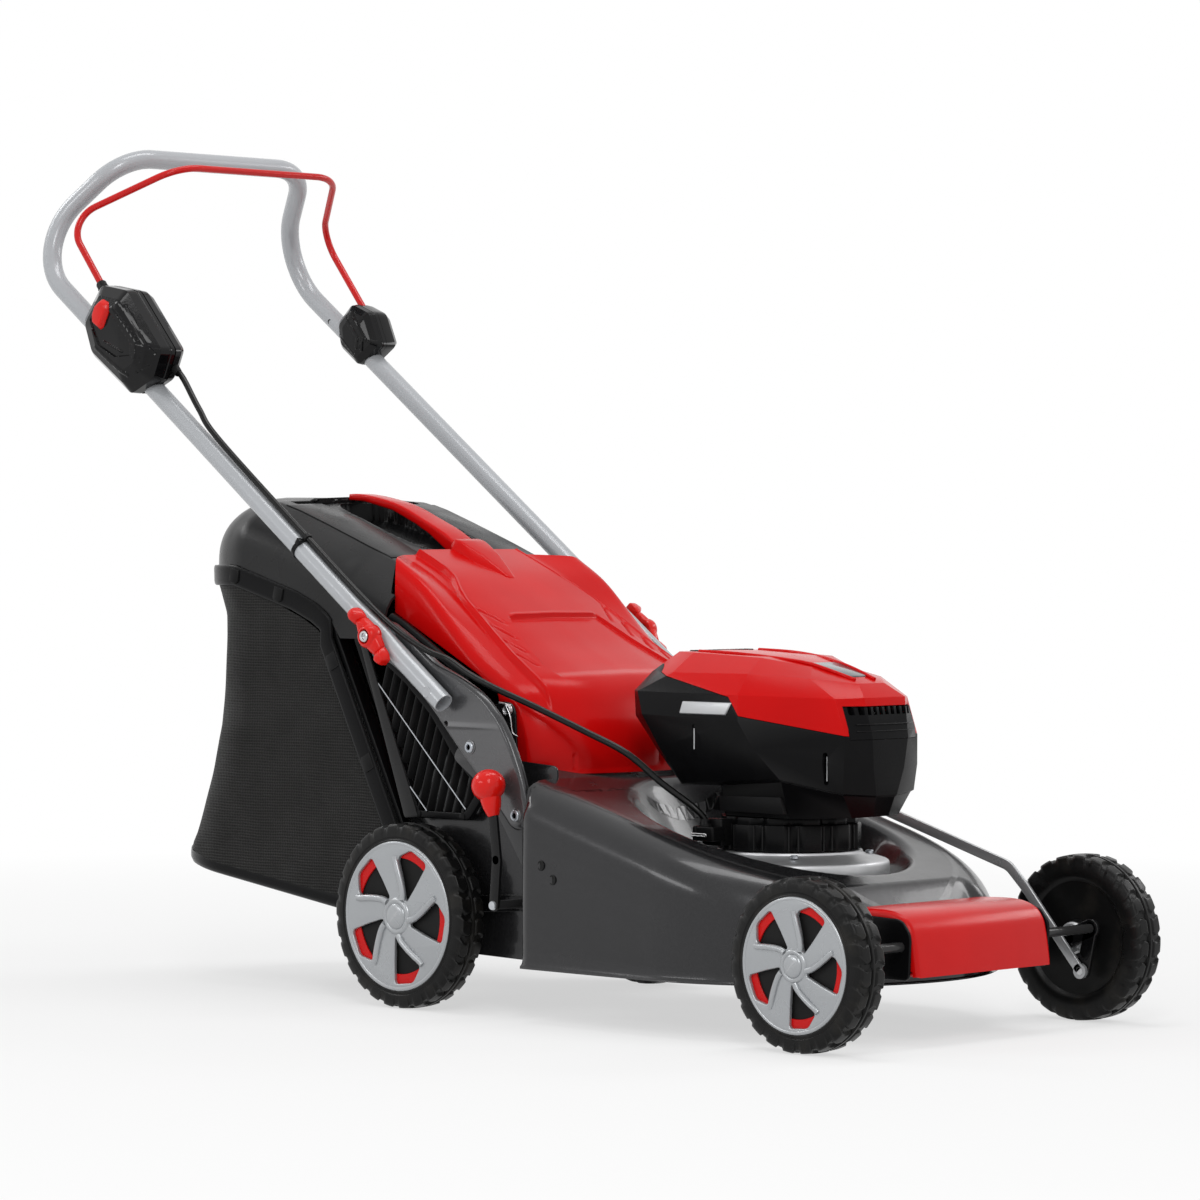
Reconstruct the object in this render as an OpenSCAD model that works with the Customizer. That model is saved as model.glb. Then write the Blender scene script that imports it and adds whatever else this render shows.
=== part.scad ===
// Battery lawn mower with a steel deck, four wheels, a folding tube handle and a rear grass bag.
// It faces +X, its left side is +Y, and it stands on z = 0.
// Most places are written from the ground under the rear wheels, and placed() then moves
// every piece so that the origin lies under the middle of the whole mower.

/* [Wheels] */
// Diameter of the rear wheels
rear_wheel_d = 200; // [190:1:210]
// Width of the rear wheels
rear_wheel_w = 37; // [32:1:39]
// Distance from the middle plane to the outer face of a rear wheel
rear_face_y = 208; // [206:1:212]
// Diameter of the front wheels
front_wheel_d = 175; // [165:1:180]
// Width of the front wheels
front_wheel_w = 40; // [34:1:42]
// Distance from the middle plane to the outer face of a front wheel
front_face_y = 240; // [238:1:250]
// Distance between the front and rear wheel centres
wheelbase = 600; // [598:1:612]
// Diameter of the wheel spindles
spindle_d = 12; // [10:0.5:14]
// Depth of tread rubber outside the wheel cap
tread_depth = 19; // [16:1:22]
// Number of spokes in each wheel cap
spokes = 5; // [3:1:7]

/* [Height adjuster] */
// Distance from a wheel centre forward to its crank shaft
crank_x = 28; // [24:1:30]
// Distance from a wheel centre up to its crank shaft
crank_z = 12; // [8:1:14]
// Diameter of the crank shafts
crank_d = 10; // [8:0.5:11]
// Thickness of the crank arms
arm_t = 5; // [4:0.5:6]
// Height of the lever ball above the rear crank shaft
lever_h = 134; // [120:1:150]
// Diameter of the lever ball
ball_d = 36; // [28:1:38]

/* [Deck] */
// Radius of the circle that the blade cuts
blade_r = 203; // [190:1:206]
// Gap between the blade tips and the deck wall
blade_gap = 9.5; // [6:0.5:12]
// Thickness of the deck steel
deck_t = 2.5; // [2:0.1:3]
// Height of the deck's lower edge at the middle cutting height
deck_low_z = 57; // [50:1:62]
// Distance from the rear wheel centres to the blade axis
motor_x = 380; // [374:1:384]
// Height of the sloping deck top at the blade axis
deck_top_z = 197; // [190:1:204]
// Slope of the deck top
deck_slope = 16.4; // [14:0.1:18]
// Radius of the rounded deck shoulders
shoulder_r = 42; // [30:1:50]
// Radius of the round seat for the motor plate
seat_r = 116; // [112:1:120]
// Height of the motor seat
seat_z = 150; // [146:1:152]
// Width of the tunnel that carries grass to the bag, outside
tunnel_w = 310; // [300:1:312]
// Width of the front cover
cover_w = 214; // [200:1:218]
// Thickness of the plastic covers
shell_t = 3; // [2.4:0.1:3.5]

/* [Motor and blade] */
// Radius of the motor plate
plate_r = 105; // [100:1:110]
// Radius of the ribbed motor base
base_r = 73; // [68:1:76]
// Height of the motor base
base_h = 36; // [32:1:38]
// Diameter of the motor spindle
shaft_d = 15; // [12:1:17]
// Outer diameter of the spindle bearings
bearing_d = 35; // [32:1:38]
// Height of the cutting edge above the ground
blade_z = 70; // [66:1:74]
// Width of the blade
blade_w = 48; // [40:1:54]
// Thickness of the blade
blade_t = 3.5; // [3:0.5:5]

/* [Battery housing] */
// Largest width of the battery housing
housing_w = 216; // [208:1:220]
// Height of the top of the lid
lid_top_z = 388; // [384:1:396]
// Width of the battery pack
pack_w = 92; // [80:1:96]
// Length of the battery pack
pack_l = 128; // [110:1:132]

/* [Handle] */
// Outer diameter of the handle tube
tube_d = 22; // [20:1:23]
// Wall thickness of the handle tube
tube_t = 1.5; // [1.2:0.1:2]
// Distance between the two sides of the handle, centre to centre
handle_w = 396; // [394:1:404]
// Slope of the handle above the ground
handle_slope = 36.2; // [34:0.2:38]
// Length of the straight side of the handle up to its bend
handle_l = 866; // [840:1:880]
// Length from that bend up to the crossbar, along the tube
grip_rise = 160; // [150:1:168]
// Distance along the tube from the fold pin up to the clamp bolt
clamp_gap = 99; // [92:1:106]
// Diameter of the red control bail
bail_d = 8; // [6:0.5:9]
// Diameter of the power cable
cable_d = 7; // [6:0.5:8]

/* [Rear flap and bag] */
// Width of the rear flap
flap_w = 300; // [290:1:301]
// Diameter of the flap hinge rod
flap_rod_d = 8; // [6:0.5:9]
// Width of the grass bag
bag_w = 340; // [330:1:341]
// Thickness of the bag fabric as modelled
fabric_t = 3; // [2:0.5:4]

/* [Fits] */
// Radial clearance of a shaft in its bore
run_fit = 0.05; // [0.02:0.01:0.1]
// Gap between separate parts that lie against each other
part_gap = 0.4; // [0.3:0.1:0.6]

/* [Hidden] */
$fn = 48;
eps = 0.01;

// Chassis places
rear_z = rear_wheel_d / 2;
front_z = front_wheel_d / 2;
deck_half = blade_r + blade_gap + deck_t;
deck_rear_x = 190;
tunnel_half = tunnel_w / 2;
hinge_x = 119;
hinge_z = 324;
cheek_t = 4;
cover_half = cover_w / 2;
nose_gap = 5;
nose_x = motor_x + deck_half + nose_gap;
cover_x = max(wheelbase, nose_x);
cover_front_x = cover_x + 46;
rear_crank = [crank_x, rear_z + crank_z];
front_crank = [wheelbase + crank_x, front_z + crank_z];
rear_inner_y = rear_face_y - rear_wheel_w;
front_inner_y = front_face_y - front_wheel_w;
base_z = seat_z + 31;
case_z = base_z + base_h;

// Handle places: the fold pin, the clamp bolt and the corners of the tube's centre line
tube_r = tube_d / 2;
handle_y = handle_w / 2;
up = [-cos(handle_slope), 0, sin(handle_slope)];
across = [sin(handle_slope), 0, cos(handle_slope)];
pin = [46, 0, 342];
tail = 20;
bolt = pin + clamp_gap * up;
corner_x = pin.x + (handle_l - tail) * up.x;
corner_z = pin.z + (handle_l - tail) * up.z;
grip_dir = [0.66, 0.36, 0.66] / norm([0.66, 0.36, 0.66]);
bend_r = 70;
grip_bend_r = 62;
lower_bend = [corner_x, handle_y, corner_z];
upper_bend = lower_bend + [grip_rise * grip_dir.x, -grip_rise * grip_dir.y, grip_rise * grip_dir.z];
handle_path = [
    [pin.x - tail * up.x, -handle_y, pin.z - tail * up.z],
    [lower_bend.x, -lower_bend.y, lower_bend.z],
    [upper_bend.x, -upper_bend.y, upper_bend.z],
    upper_bend, lower_bend,
    [pin.x - tail * up.x, handle_y, pin.z - tail * up.z]];
// The rearmost point of the lower bend's arc, which ends the mower's length
bend_axis = cross(up, grip_dir) / norm(cross(up, grip_dir));
bend_centre = lower_bend - bend_r * tan(acos(up * grip_dir) / 2) * up + bend_r * cross(bend_axis, up);
rear_end_x = bend_centre.x - bend_r * sqrt(1 - pow(bend_axis.x, 2)) - tube_r;
front_end_x = wheelbase + front_z;
origin_x = (rear_end_x + front_end_x) / 2;

// Bag mouth: a leaning plane from its lower edge to its upper edge
mouth_low = [-10, 152];
mouth_high = [-150, 424];
mouth_lean = atan2(mouth_low.x - mouth_high.x, mouth_high.y - mouth_low.y);
mouth_len = norm(mouth_high - mouth_low);
bag_half = bag_w / 2;

// Where a thing just in front of the mouth plane ends at height z
function mouth_x(z) = mouth_low.x - (z - mouth_low.y) * tan(mouth_lean) + part_gap + 0.1;
tunnel_end = [mouth_x(150), 150];

module placed() translate([-origin_x, 0, 0]) children();

module both_sides() {
    children();
    mirror([0, 1, 0]) children();
}

// A flat plate with an outline in x and z, from y0 to y1
module side_plate(points, y0, y1)
    translate([0, y1, 0]) rotate([90, 0, 0]) linear_extrude(y1 - y0) polygon(points);

// A cylinder across the mower at x, z from y0 to y1
module cross_pin(at, r, y0, y1)
    translate([at.x, y1, at.y]) rotate([90, 0, 0]) cylinder(r = r, h = y1 - y0);

// A straight rod from p to q, hollow when bore is above zero
module rod(p, q, r, bore = 0) {
    d = q - p;
    translate(p) rotate([0, acos(d.z / norm(d)), atan2(d.y, d.x)]) difference() {
        cylinder(r = r, h = norm(d));
        if (bore > 0) translate([0, 0, -1]) cylinder(r = bore, h = norm(d) + 2);
    }
}

function unit(v) = v / norm(v);
function turn(a, b, c) = acos(max(-1, min(1, unit(b - a) * unit(c - b))));
function cut_back(pts, i, rb) = rb * tan(turn(pts[i - 1], pts[i], pts[i + 1]) / 2);

// A round bend at b between the lines a-b and b-c
module bend(a, b, c, rb, r) {
    d = unit(b - a);
    axis = unit(cross(d, unit(c - b)));
    out = -cross(axis, d);
    angle = turn(a, b, c);
    centre = b - d * rb * tan(angle / 2) - rb * out;
    multmatrix([[out.x, d.x, axis.x, centre.x], [out.y, d.y, axis.y, centre.y],
                [out.z, d.z, axis.z, centre.z], [0, 0, 0, 1]])
        rotate_extrude(angle = angle) translate([rb, 0]) circle(r - bend_step);
}

// A bent rod through the corners pts, with one bend radius for each corner; both ends
// run on by over. The straights lap a little into the bends, which are a hair thinner.
bend_step = 0.02;
bend_lap = 0.3;
module bent_rod(pts, bends, r, over = 0) {
    last = len(pts) - 1;
    for (i = [0 : last - 1]) {
        d = unit(pts[i + 1] - pts[i]);
        head = i == 0 ? -over : cut_back(pts, i, bends[i - 1]) - bend_lap;
        foot = i == last - 1 ? -over : cut_back(pts, i + 1, bends[i]) - bend_lap;
        rod(pts[i] + d * head, pts[i + 1] - d * foot, r);
    }
    for (i = [1 : last - 1]) bend(pts[i - 1], pts[i], pts[i + 1], bends[i - 1], r);
}

// ---- deck ----

module deck_plan(inset) {
    half = deck_half - inset;
    translate([deck_rear_x + inset, -half]) square([motor_x - deck_rear_x - inset, 2 * half]);
    intersection() {
        translate([motor_x, 0]) circle(half, $fn = 96);
        translate([motor_x - 1, -half]) square([half + 2, 2 * half]);
    }
}

// The deck's outer form, or its inside when inset is the steel's thickness
module deck_form(inset) {
    half = deck_half - inset;
    low = inset > 0 ? deck_low_z - 1 : deck_low_z;
    intersection() {
        translate([0, 0, low]) linear_extrude(260) deck_plan(inset);
        translate([motor_x, 0, deck_top_z - inset]) rotate([0, deck_slope, 0])
            translate([-400, 0, 0]) rotate([90, 0, 90]) linear_extrude(800)
                shoulder_section(half);
    }
}

module shoulder_section(half) {
    r = shoulder_r;
    translate([-half, -400]) square([2 * half, 400 - r]);
    translate([-half + r, -r - 1]) square([2 * (half - r), r + 1]);
    for (s = [-1, 1]) translate([s * (half - r), -r]) circle(r);
}

tunnel_side = [[deck_rear_x, deck_low_z], [deck_rear_x, 262], [hinge_x + 14, hinge_z + 9],
    [hinge_x - 14, hinge_z + 9], [mouth_x(222), 222], tunnel_end, [10, 96], [62, 60]];

// Side walls and sloping floor of the grass tunnel
module tunnel() {
    both_sides() side_plate(tunnel_side, tunnel_half - deck_t, tunnel_half);
    side_plate([[deck_rear_x, deck_low_z], [deck_rear_x, deck_low_z + deck_t],
        tunnel_end + [0, deck_t], tunnel_end], -tunnel_half, tunnel_half);
}

// Top of the deck in front of the flap's bowed edge
module tunnel_roof() difference() {
    side_plate([[deck_rear_x + 4, roof_z(deck_rear_x + 4) - deck_t], [deck_rear_x + 4, roof_z(deck_rear_x + 4)],
        [hinge_x + 2, roof_z(hinge_x + 2)], [hinge_x + 2, roof_z(hinge_x + 2) - deck_t]],
        -tunnel_half, tunnel_half);
    translate([bow_x, 0, 0]) cylinder(r = bow_r + 2, h = 900, $fn = 128);
}
function roof_z(x) = deck_top_z + (motor_x - x) * tan(deck_slope);

// Upright wings beside the tunnel that carry the handle brackets
bolt_spots = [[91, 284], [160, 214]];
bracket_y = handle_y - tube_r - part_gap;
bracket_t = 3;
wing_top = bracket_y - bracket_t - part_gap;
wing = [[deck_rear_x - 4, 150], [deck_rear_x - 12, 225], [160, 262], [126, 300], [84, 300], [60, 272],
    [112, 238], [deck_rear_x - 24, 160]];

module deck_wings() both_sides() {
    side_plate(wing, wing_top - deck_t, wing_top);
    translate([deck_rear_x - 14, tunnel_half - deck_t, 152])
        cube([10, wing_top - tunnel_half + deck_t, 60]);
    translate([84, tunnel_half - deck_t, 268]) cube([40, wing_top - tunnel_half + deck_t, 8]);
}

module deck_cheeks() both_sides()
    side_plate([[nose_x - 30, 66], [cover_front_x - 8, 66], [cover_front_x - 6, 112],
        [cover_front_x - 18, 127], [nose_x - 62, 130]], cover_half + part_gap,
        cover_half + part_gap + cheek_t);

module deck() color("dimgray") placed() difference() {
    union() {
        difference() {
            deck_form(0);
            // round seat for the motor plate
            translate([motor_x, 0, seat_z]) cylinder(r = seat_r, h = 200, $fn = 96);
            difference() {
                deck_form(deck_t);
                translate([motor_x, 0, seat_z - deck_t])
                    cylinder(r = seat_r + deck_t, h = 200, $fn = 96);
            }
            // grass outlet into the tunnel, open above for the flap's lip
            translate([deck_rear_x - 20, -tunnel_half + deck_t, deck_low_z + deck_t])
                cube([26, tunnel_w - 2 * deck_t, 240]);
            // level top at the front, under the front cover
            translate([nose_x - 60, -cover_half, 124]) cube([100, cover_w, 100]);
        }
        tunnel();
        tunnel_roof();
        deck_wings();
        deck_cheeks();
    }
    // motor opening and its screw holes
    translate([motor_x, 0, seat_z - 10]) cylinder(d = bearing_d + 20, h = 20);
    for (a = [45 : 90 : 315]) translate([motor_x + 88 * cos(a), 88 * sin(a), seat_z - 10])
        cylinder(r = 3 + run_fit, h = 20);
    cross_pin(rear_crank, crank_d / 2 + run_fit, -250, 250);
    cross_pin(front_crank, crank_d / 2 + run_fit, -250, 250);
    cross_pin([hinge_x, hinge_z], flap_rod_d / 2 + run_fit, -250, 250);
    both_sides() for (p = bolt_spots) cross_pin(p, 3 + run_fit, wing_top - 10, wing_top + 10);
}

// ---- front cover ----

cover_outline = [[nose_x - 58, 125], [nose_x - 54, 132], [cover_x - 4, 135], [cover_x + 20, 131],
    [cover_x + 34, 122], [cover_x + 42, 106], [cover_front_x, 70], [cover_front_x - shell_t, 70]];
cover_inside = [[nose_x - 70, 60], [nose_x - 70, 125], [nose_x - 56, 129], [cover_x - 4, 132],
    [cover_x + 18, 128], [cover_x + 31, 120], [cover_x + 38.5, 105],
    [cover_front_x - shell_t, 69], [cover_front_x - shell_t, 60]];

// Rear edge of the cover's sides: behind the crank shaft and clear of the round deck
cover_back_x = max(front_crank.x - 24, nose_x - 22);

module front_cover() color("red") placed() difference() {
    side_plate(concat(cover_outline, [[cover_back_x, 70], [cover_back_x, 125]]), -cover_half, cover_half);
    side_plate(cover_inside, -cover_half + shell_t, cover_half - shell_t);
    cross_pin(front_crank, crank_d / 2 + 1, -250, 250);
}

// ---- motor ----

hub_in = bearing_d / 2 + run_fit;

module motor_plate() color("silver") placed() translate([motor_x, 0, 0]) difference() {
    rotate_extrude($fn = 96) polygon([[hub_in, seat_z + part_gap], [hub_in + 8, seat_z + part_gap],
        [hub_in + 8, seat_z + 18], [plate_r - 25, seat_z + 14], [plate_r - 25, seat_z + part_gap],
        [plate_r, seat_z + part_gap], [plate_r, seat_z + 22], [plate_r - 3, seat_z + 25],
        [base_r + 3, base_z - part_gap], [hub_in, base_z - part_gap]]);
    for (a = [45 : 90 : 315]) translate([88 * cos(a), 88 * sin(a), seat_z - 1])
        cylinder(r = 3 + run_fit, h = 60);
    for (a = [45 : 90 : 315]) translate([88 * cos(a), 88 * sin(a), seat_z + 18]) cylinder(r = 6, h = 60);
}

module motor_base() color("black") placed() translate([motor_x, 0, base_z]) difference() {
    union() {
        cylinder(r = base_r - 4, h = base_h, $fn = 96);
        for (a = [0 : 30 : 330]) rotate([0, 0, a]) translate([base_r - 8, -9, 0]) cube([8, 18, base_h]);
        translate([-48, -76, 8]) cube([28, 30, 20]);
    }
    translate([0, 0, -1]) cylinder(r = base_r - 9, h = base_h - 3, $fn = 96);
    cylinder(d = shaft_d + 4, h = 100);
}

module stator() color("orange") placed() translate([motor_x, 0, base_z + 2]) difference() {
    cylinder(r = base_r - 9 - part_gap, h = 26, $fn = 96);
    translate([0, 0, -1]) cylinder(r = 34, h = 40);
    for (a = [0 : 40 : 320]) rotate([0, 0, a]) translate([40, -3, -1]) cube([12, 6, 40]);
}

module rotor() color("gray") placed() translate([motor_x, 0, base_z + 2]) difference() {
    cylinder(r = 33, h = 26);
    translate([0, 0, -1]) cylinder(r = shaft_d / 2 + run_fit, h = 40);
}

module spindle() color("silver") placed() translate([motor_x, 0, blade_z + blade_t]) difference() {
    cylinder(d = shaft_d, h = case_z - 6 - blade_z - blade_t);
    translate([0, 0, -1]) cylinder(r = 4 + run_fit, h = 31);
}

module bearing(z) translate([motor_x, 0, z]) difference() {
    cylinder(d = bearing_d, h = 9);
    translate([0, 0, -1]) cylinder(r = shaft_d / 2 + run_fit, h = 11);
}

module spindle_bearings() color("silver") placed() {
    bearing(base_z - 10);
    bearing(base_z - 19.5);
}

module blade_hub() color("gray") placed() translate([motor_x, 0, blade_z + blade_t]) difference() {
    union() {
        cylinder(r = 26, h = 6);
        cylinder(r = 15, h = 34);
    }
    translate([0, 0, -1]) cylinder(r = shaft_d / 2 + run_fit, h = 40);
}

module blade() color("gray") placed() translate([motor_x, 0, blade_z]) difference() {
    union() {
        intersection() {
            translate([-blade_r, -blade_w / 2, 0]) cube([2 * blade_r, blade_w, blade_t]);
            cylinder(r = blade_r, h = blade_t, $fn = 96);
        }
        // turned-up wings behind the cutting edges
        for (s = [0, 180]) rotate([0, 0, s]) translate([blade_r - 75, blade_w / 2 - blade_t, 0])
            cube([60, blade_t, 18]);
    }
    translate([0, 0, -1]) cylinder(r = 4 + run_fit, h = 20);
}

module blade_bolt() color("silver") placed() translate([motor_x, 0, blade_z]) {
    translate([0, 0, -9]) cylinder(r = 11, h = 9, $fn = 6);
    cylinder(d = 8, h = 30);
}

module chassis_bolts() color("silver") placed() {
    for (a = [45 : 90 : 315]) translate([motor_x + 88 * cos(a), 88 * sin(a), seat_z - 6]) {
        cylinder(r = 3, h = 25);
        translate([0, 0, 24]) cylinder(r = 5.5, h = 5);
    }
    both_sides() for (p = bolt_spots) {
        cross_pin(p, 3, wing_top - 6, bracket_y + 1);
        cross_pin(p, 6, bracket_y, bracket_y + 2);
    }
}

// ---- battery housing ----

hx = motor_x - 380;
hw = housing_w / 2;

function mirror_back(pts) = [for (i = [len(pts) - 1 : -1 : 0]) [pts[i].x, -pts[i].y]];
function plan_ring(pts) = concat(pts, mirror_back(pts));

// One level of the housing: half outline pts at height z, drawn in by inset
module level(pts, z, inset)
    translate([hx, 0, z]) linear_extrude(eps) offset(delta = -inset) polygon(plan_ring(pts));

module housing_form(inset) hull() {
    level([[325, 50], [345, 70], [440, 70], [503, 34], [509, 4]], case_z + part_gap + inset, inset);
    level([[258, hw - 10], [275, hw], [402, hw], [507, 57], [520, 6]], 316, inset);
    level([[248, hw - 16], [262, hw - 6], [402, hw - 3], [492, 57], [511, 6]], 346, inset);
    level([[262, hw - 34], [300, hw - 18], [402, hw - 22], [456, 56], [490, 6]], 368, inset);
    level([[284, 60], [394, 58], [428, 30], [440, 6]], lid_top_z - inset, inset);
}

// Everything above the parting line between the case and the lid
part_line = [[200, 377], [262, 366], [398, 342], [514, 306], [560, 292]];
module above_parting(lift) translate([hx, 0, lift])
    side_plate(concat(part_line, [[560, 420], [200, 420]]), -150, 150);

grille_x = 494 + hx;
module grille_zone(grow) translate([grille_x - grow, -52 - grow, 300 - grow])
    cube([60, 104 + 2 * grow, 34 + 2 * grow]);

lid_pin_at = [256 + hx, 358];

module battery_case() color("black") placed() difference() {
    union() {
        difference() {
            housing_form(0);
            housing_form(shell_t);
            above_parting(0);
            grille_zone(0);
        }
        // shelf under the battery pack, with the socket for the key ahead of it
        intersection() {
            housing_form(1);
            translate([hx + 296, -120, pack_z - part_gap - shelf_t]) cube([184, 240, shelf_t]);
        }
        translate([hx + 454, -14, pack_z - part_gap - 1]) cube([24, 28, 22]);
        // posts under the control board, and lugs for the lid's hinge
        for (x = [350, 420]) for (y = [-34, 34]) translate([hx + x, y, case_z + shell_t])
            cylinder(r = 4, h = post_h);
        both_sides() arm(lid_pin_at, lid_pin_at + [9, -16], 6, lug_y, lug_y + 6);
    }
    // room for the lid's hinge ears
    both_sides() arm(lid_pin_at, lid_pin_at + [16, 13], 7, lug_y - 7, lug_y - part_gap);
    lid_pin_pair(lid_pin_r + run_fit, 8);
    translate([hx + 459.5, -8.5, pack_z + 1]) cube([13, 17, 40]);
    // narrow upright slots in both sides
    both_sides() for (x = [338, 448]) translate([x + hx, hw - 30, 286]) cube([3, 40, 24]);
    both_sides() accent_cut();
}

lug_y = 47;
lid_pin_r = 2.5;
pack_z = case_z + 40;
shelf_t = 4;
post_h = 11;
board_z = case_z + shell_t + post_h + part_gap;

module accent_cut() translate([322 + hx, hw - 5, 326]) cube([72, 8, 12]);

module side_accents() color("silver") placed() intersection() {
    housing_form(0);
    both_sides() translate([322 + part_gap + hx, hw - 5 + part_gap, 326 + part_gap])
        cube([72 - 2 * part_gap, 8, 12 - 2 * part_gap]);
}

module front_grille() color("black") placed() difference() {
    intersection() {
        housing_form(0);
        grille_zone(-part_gap);
    }
    housing_form(shell_t);
    for (i = [-5 : 5]) translate([grille_x, i * 9 - 2.5, 324]) cube([60, 5, 12]);
}

module battery_lid() color("red") placed() difference() {
    union() {
        difference() {
            intersection() {
                housing_form(0);
                above_parting(part_gap);
            }
            housing_form(shell_t);
            grille_zone(part_gap);
        }
        both_sides() arm(lid_pin_at, lid_pin_at + [15, 12], 6, lug_y - 6, lug_y - 2 * part_gap);
    }
    lid_pin_pair(lid_pin_r + run_fit, 8);
    for (i = [-6 : 6]) translate([292 + hx, i * 7 - 1.5, lid_top_z - 8]) cube([14, 3, 20]);
}

// Two short pins of radius r, one through each lug and ear, each reaching out from the lug's face
module lid_pin_pair(r, reach) both_sides() cross_pin(lid_pin_at, r, lug_y - reach, lug_y + reach);

module lid_pins() color("silver") placed() lid_pin_pair(lid_pin_r, 7);

module battery_pack() color("dimgray") placed()
    translate([hx + 318, -pack_w / 2, pack_z]) cube([pack_l, pack_w, 78]);

module control_board() color("green") placed()
    translate([hx + 340, -42, board_z]) cube([90, 84, 12]);

module safety_key() color("orange") placed()
    translate([hx + 460, -8, pack_z + 1 + part_gap]) cube([12, 16, 34]);

// ---- handle ----

handle_bends = [bend_r, grip_bend_r, grip_bend_r, bend_r];

module handle_tube() color("lightgray") placed() difference() {
    bent_rod(handle_path, handle_bends, tube_r);
    bent_rod(handle_path, handle_bends, tube_r - tube_t, 1);
    cross_pin([bolt.x, bolt.z], 4 + run_fit, -250, 250);
    both_sides() cross_pin([pin.x, pin.z], 4 + run_fit, handle_y - 20, handle_y);
}

bracket_line = [[-62, 372], [-74, 400], [-60, 416], [-36, 417], [2, 396], [36, 372], [72, 358], [108, 340],
    [134, 316], [152, 288], [166, 258], [176, 226], [178, 212], [170, 200], [160, 197], [150, 200],
    [101, 252], [72, 279], [30, 322], [-5, 352], [-40, 372]];

module bracket() difference() {
    union() {
        side_plate(bracket_line, bracket_y - bracket_t, bracket_y);
        cross_pin([pin.x, pin.z], 4, bracket_y - 1, handle_y - 3);
    }
    cross_pin([bolt.x, bolt.z], 4.4, bracket_y - 20, bracket_y + 5);
    // open slot that lets the clamp bolt swing out upwards
    translate([bolt.x, bracket_y - 20, bolt.z]) rotate([0, handle_slope, 0])
        translate([-4.4, 0, 0]) cube([8.8, 30, 60]);
    for (p = bolt_spots) cross_pin(p, 3 + run_fit, bracket_y - 20, bracket_y + 5);
    cross_pin([44, 308], 3, bracket_y - 20, bracket_y + 5);
}

module bracket_left() color("dimgray") placed() bracket();
module bracket_right() color("dimgray") placed() mirror([0, 1, 0]) bracket();

// Wing knob on the clamp bolt, outside the tube
module knob() {
    y0 = handle_y + tube_r + part_gap;
    difference() {
        union() {
            cross_pin([bolt.x, bolt.z], 13, y0, y0 + 16);
            translate([bolt.x, y0, bolt.z]) rotate([0, handle_slope + 12, 0]) {
                translate([-34, 0, -7]) cube([68, 12, 14]);
                translate([-38, 2, -8]) cube([12, 14, 16]);
                translate([26, 2, -8]) cube([12, 14, 16]);
            }
        }
        cross_pin([bolt.x, bolt.z], 4 + run_fit, y0 - 5, y0 + 40);
        cross_pin([bolt.x, bolt.z], 7.5, y0 + 12, y0 + 40);
    }
}

module knob_left() color("red") placed() knob();
module knob_right() color("red") placed() mirror([0, 1, 0]) knob();

module knob_bolts() color("silver") placed() both_sides() {
    cross_pin([bolt.x, bolt.z], 4, bracket_y - bracket_t - part_gap - 1, handle_y + tube_r + 14);
    cross_pin([bolt.x, bolt.z], 8, bracket_y - bracket_t - part_gap - 4, bracket_y - bracket_t - part_gap);
    cross_pin([bolt.x, bolt.z], 6.5, handle_y + tube_r + part_gap + 12, handle_y + tube_r + 17);
}

// Control boxes sit round the tube; s runs up the tube from the fold pin
box_s = 608;
pivot_s = 657;
box_depth = 38;
box_inner_depth = 22;

// Outlines of the two control boxes; x runs down the tube from the box's middle, y across it
switch_outline = [[-83, 6], [-47, -17], [36, -14], [57, 22], [50, 57], [-41, 77], [-81, 57]];
pivot_outline = [[-47, 9], [-26, -12], [14, -12], [29, 28], [-9, 50], [-40, 42]];
bail_at = [pin.x, pin.z] + 675 * [up.x, up.z] + 35 * [across.x, across.z];

function shrink(pts, c, kx, ky) = [for (p = pts) [c.x + (p.x - c.x) * kx, c.y + (p.y - c.y) * ky]];

// Stands its children on the left tube: their x runs down the tube, their y upwards across it
// and their z outwards
module at_box(s) translate([0, handle_y, 0] + pin + s * up)
    rotate([0, handle_slope, 0]) rotate([-90, 0, 0]) mirror([0, 1, 0]) children();

module box_half(pts, c, depth, kx, ky) hull() {
    linear_extrude(depth * 0.45) polygon(pts);
    linear_extrude(depth) polygon(shrink(pts, c, kx, ky));
}

// Room for the tube, the swinging bail leg and its pin
bail_rest = 127.2;
bail_swing = 17;
leg_y = 200;
function polar(r, a) = [r * cos(a), r * sin(a)];
leg_room = [bail_at + polar(7, bail_rest - 90), bail_at + polar(7, bail_rest - 90) + polar(130, bail_rest),
    bail_at + polar(7, bail_rest + bail_swing + 90) + polar(130, bail_rest + bail_swing),
    bail_at + polar(7, bail_rest + bail_swing + 90), bail_at + polar(9, bail_rest + 190)];

module box_rooms() {
    rod([bolt.x, handle_y, bolt.z], [bolt.x, handle_y, bolt.z] + 700 * up, tube_r + 0.05);
    side_plate(leg_room, leg_y - bail_d / 2 - 1.5, leg_y + bail_d / 2 + 1.5);
    cross_pin(bail_at, 4 + run_fit, leg_y - 18, leg_y + 20);
}

module switch_cavity() at_box(box_s) translate([-34, 24, -14]) cube([70, 30, 36]);

module switch_shell_outer() difference() {
    at_box(box_s) box_half(switch_outline, [-4, 34], box_depth, 0.74, 0.6);
    box_rooms();
    switch_cavity();
    at_box(box_s) translate(button_at - [0.5, 0.5, 18]) cube(button_size + [1, 1, 40]);
}

module switch_shell_inner() difference() {
    at_box(box_s) mirror([0, 0, 1]) box_half(switch_outline, [-4, 34], box_inner_depth, 0.86, 0.8);
    box_rooms();
    switch_cavity();
    // cable exit
    rod(on_handle(cable_start, 34, 192), on_handle(cable_start - 30, 34, 192), cable_d / 2 + 0.3);
}

module switch_box_cover() color("black") placed() mirror([0, 1, 0]) switch_shell_outer();
module switch_box() color("black") placed() mirror([0, 1, 0]) switch_shell_inner();

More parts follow.
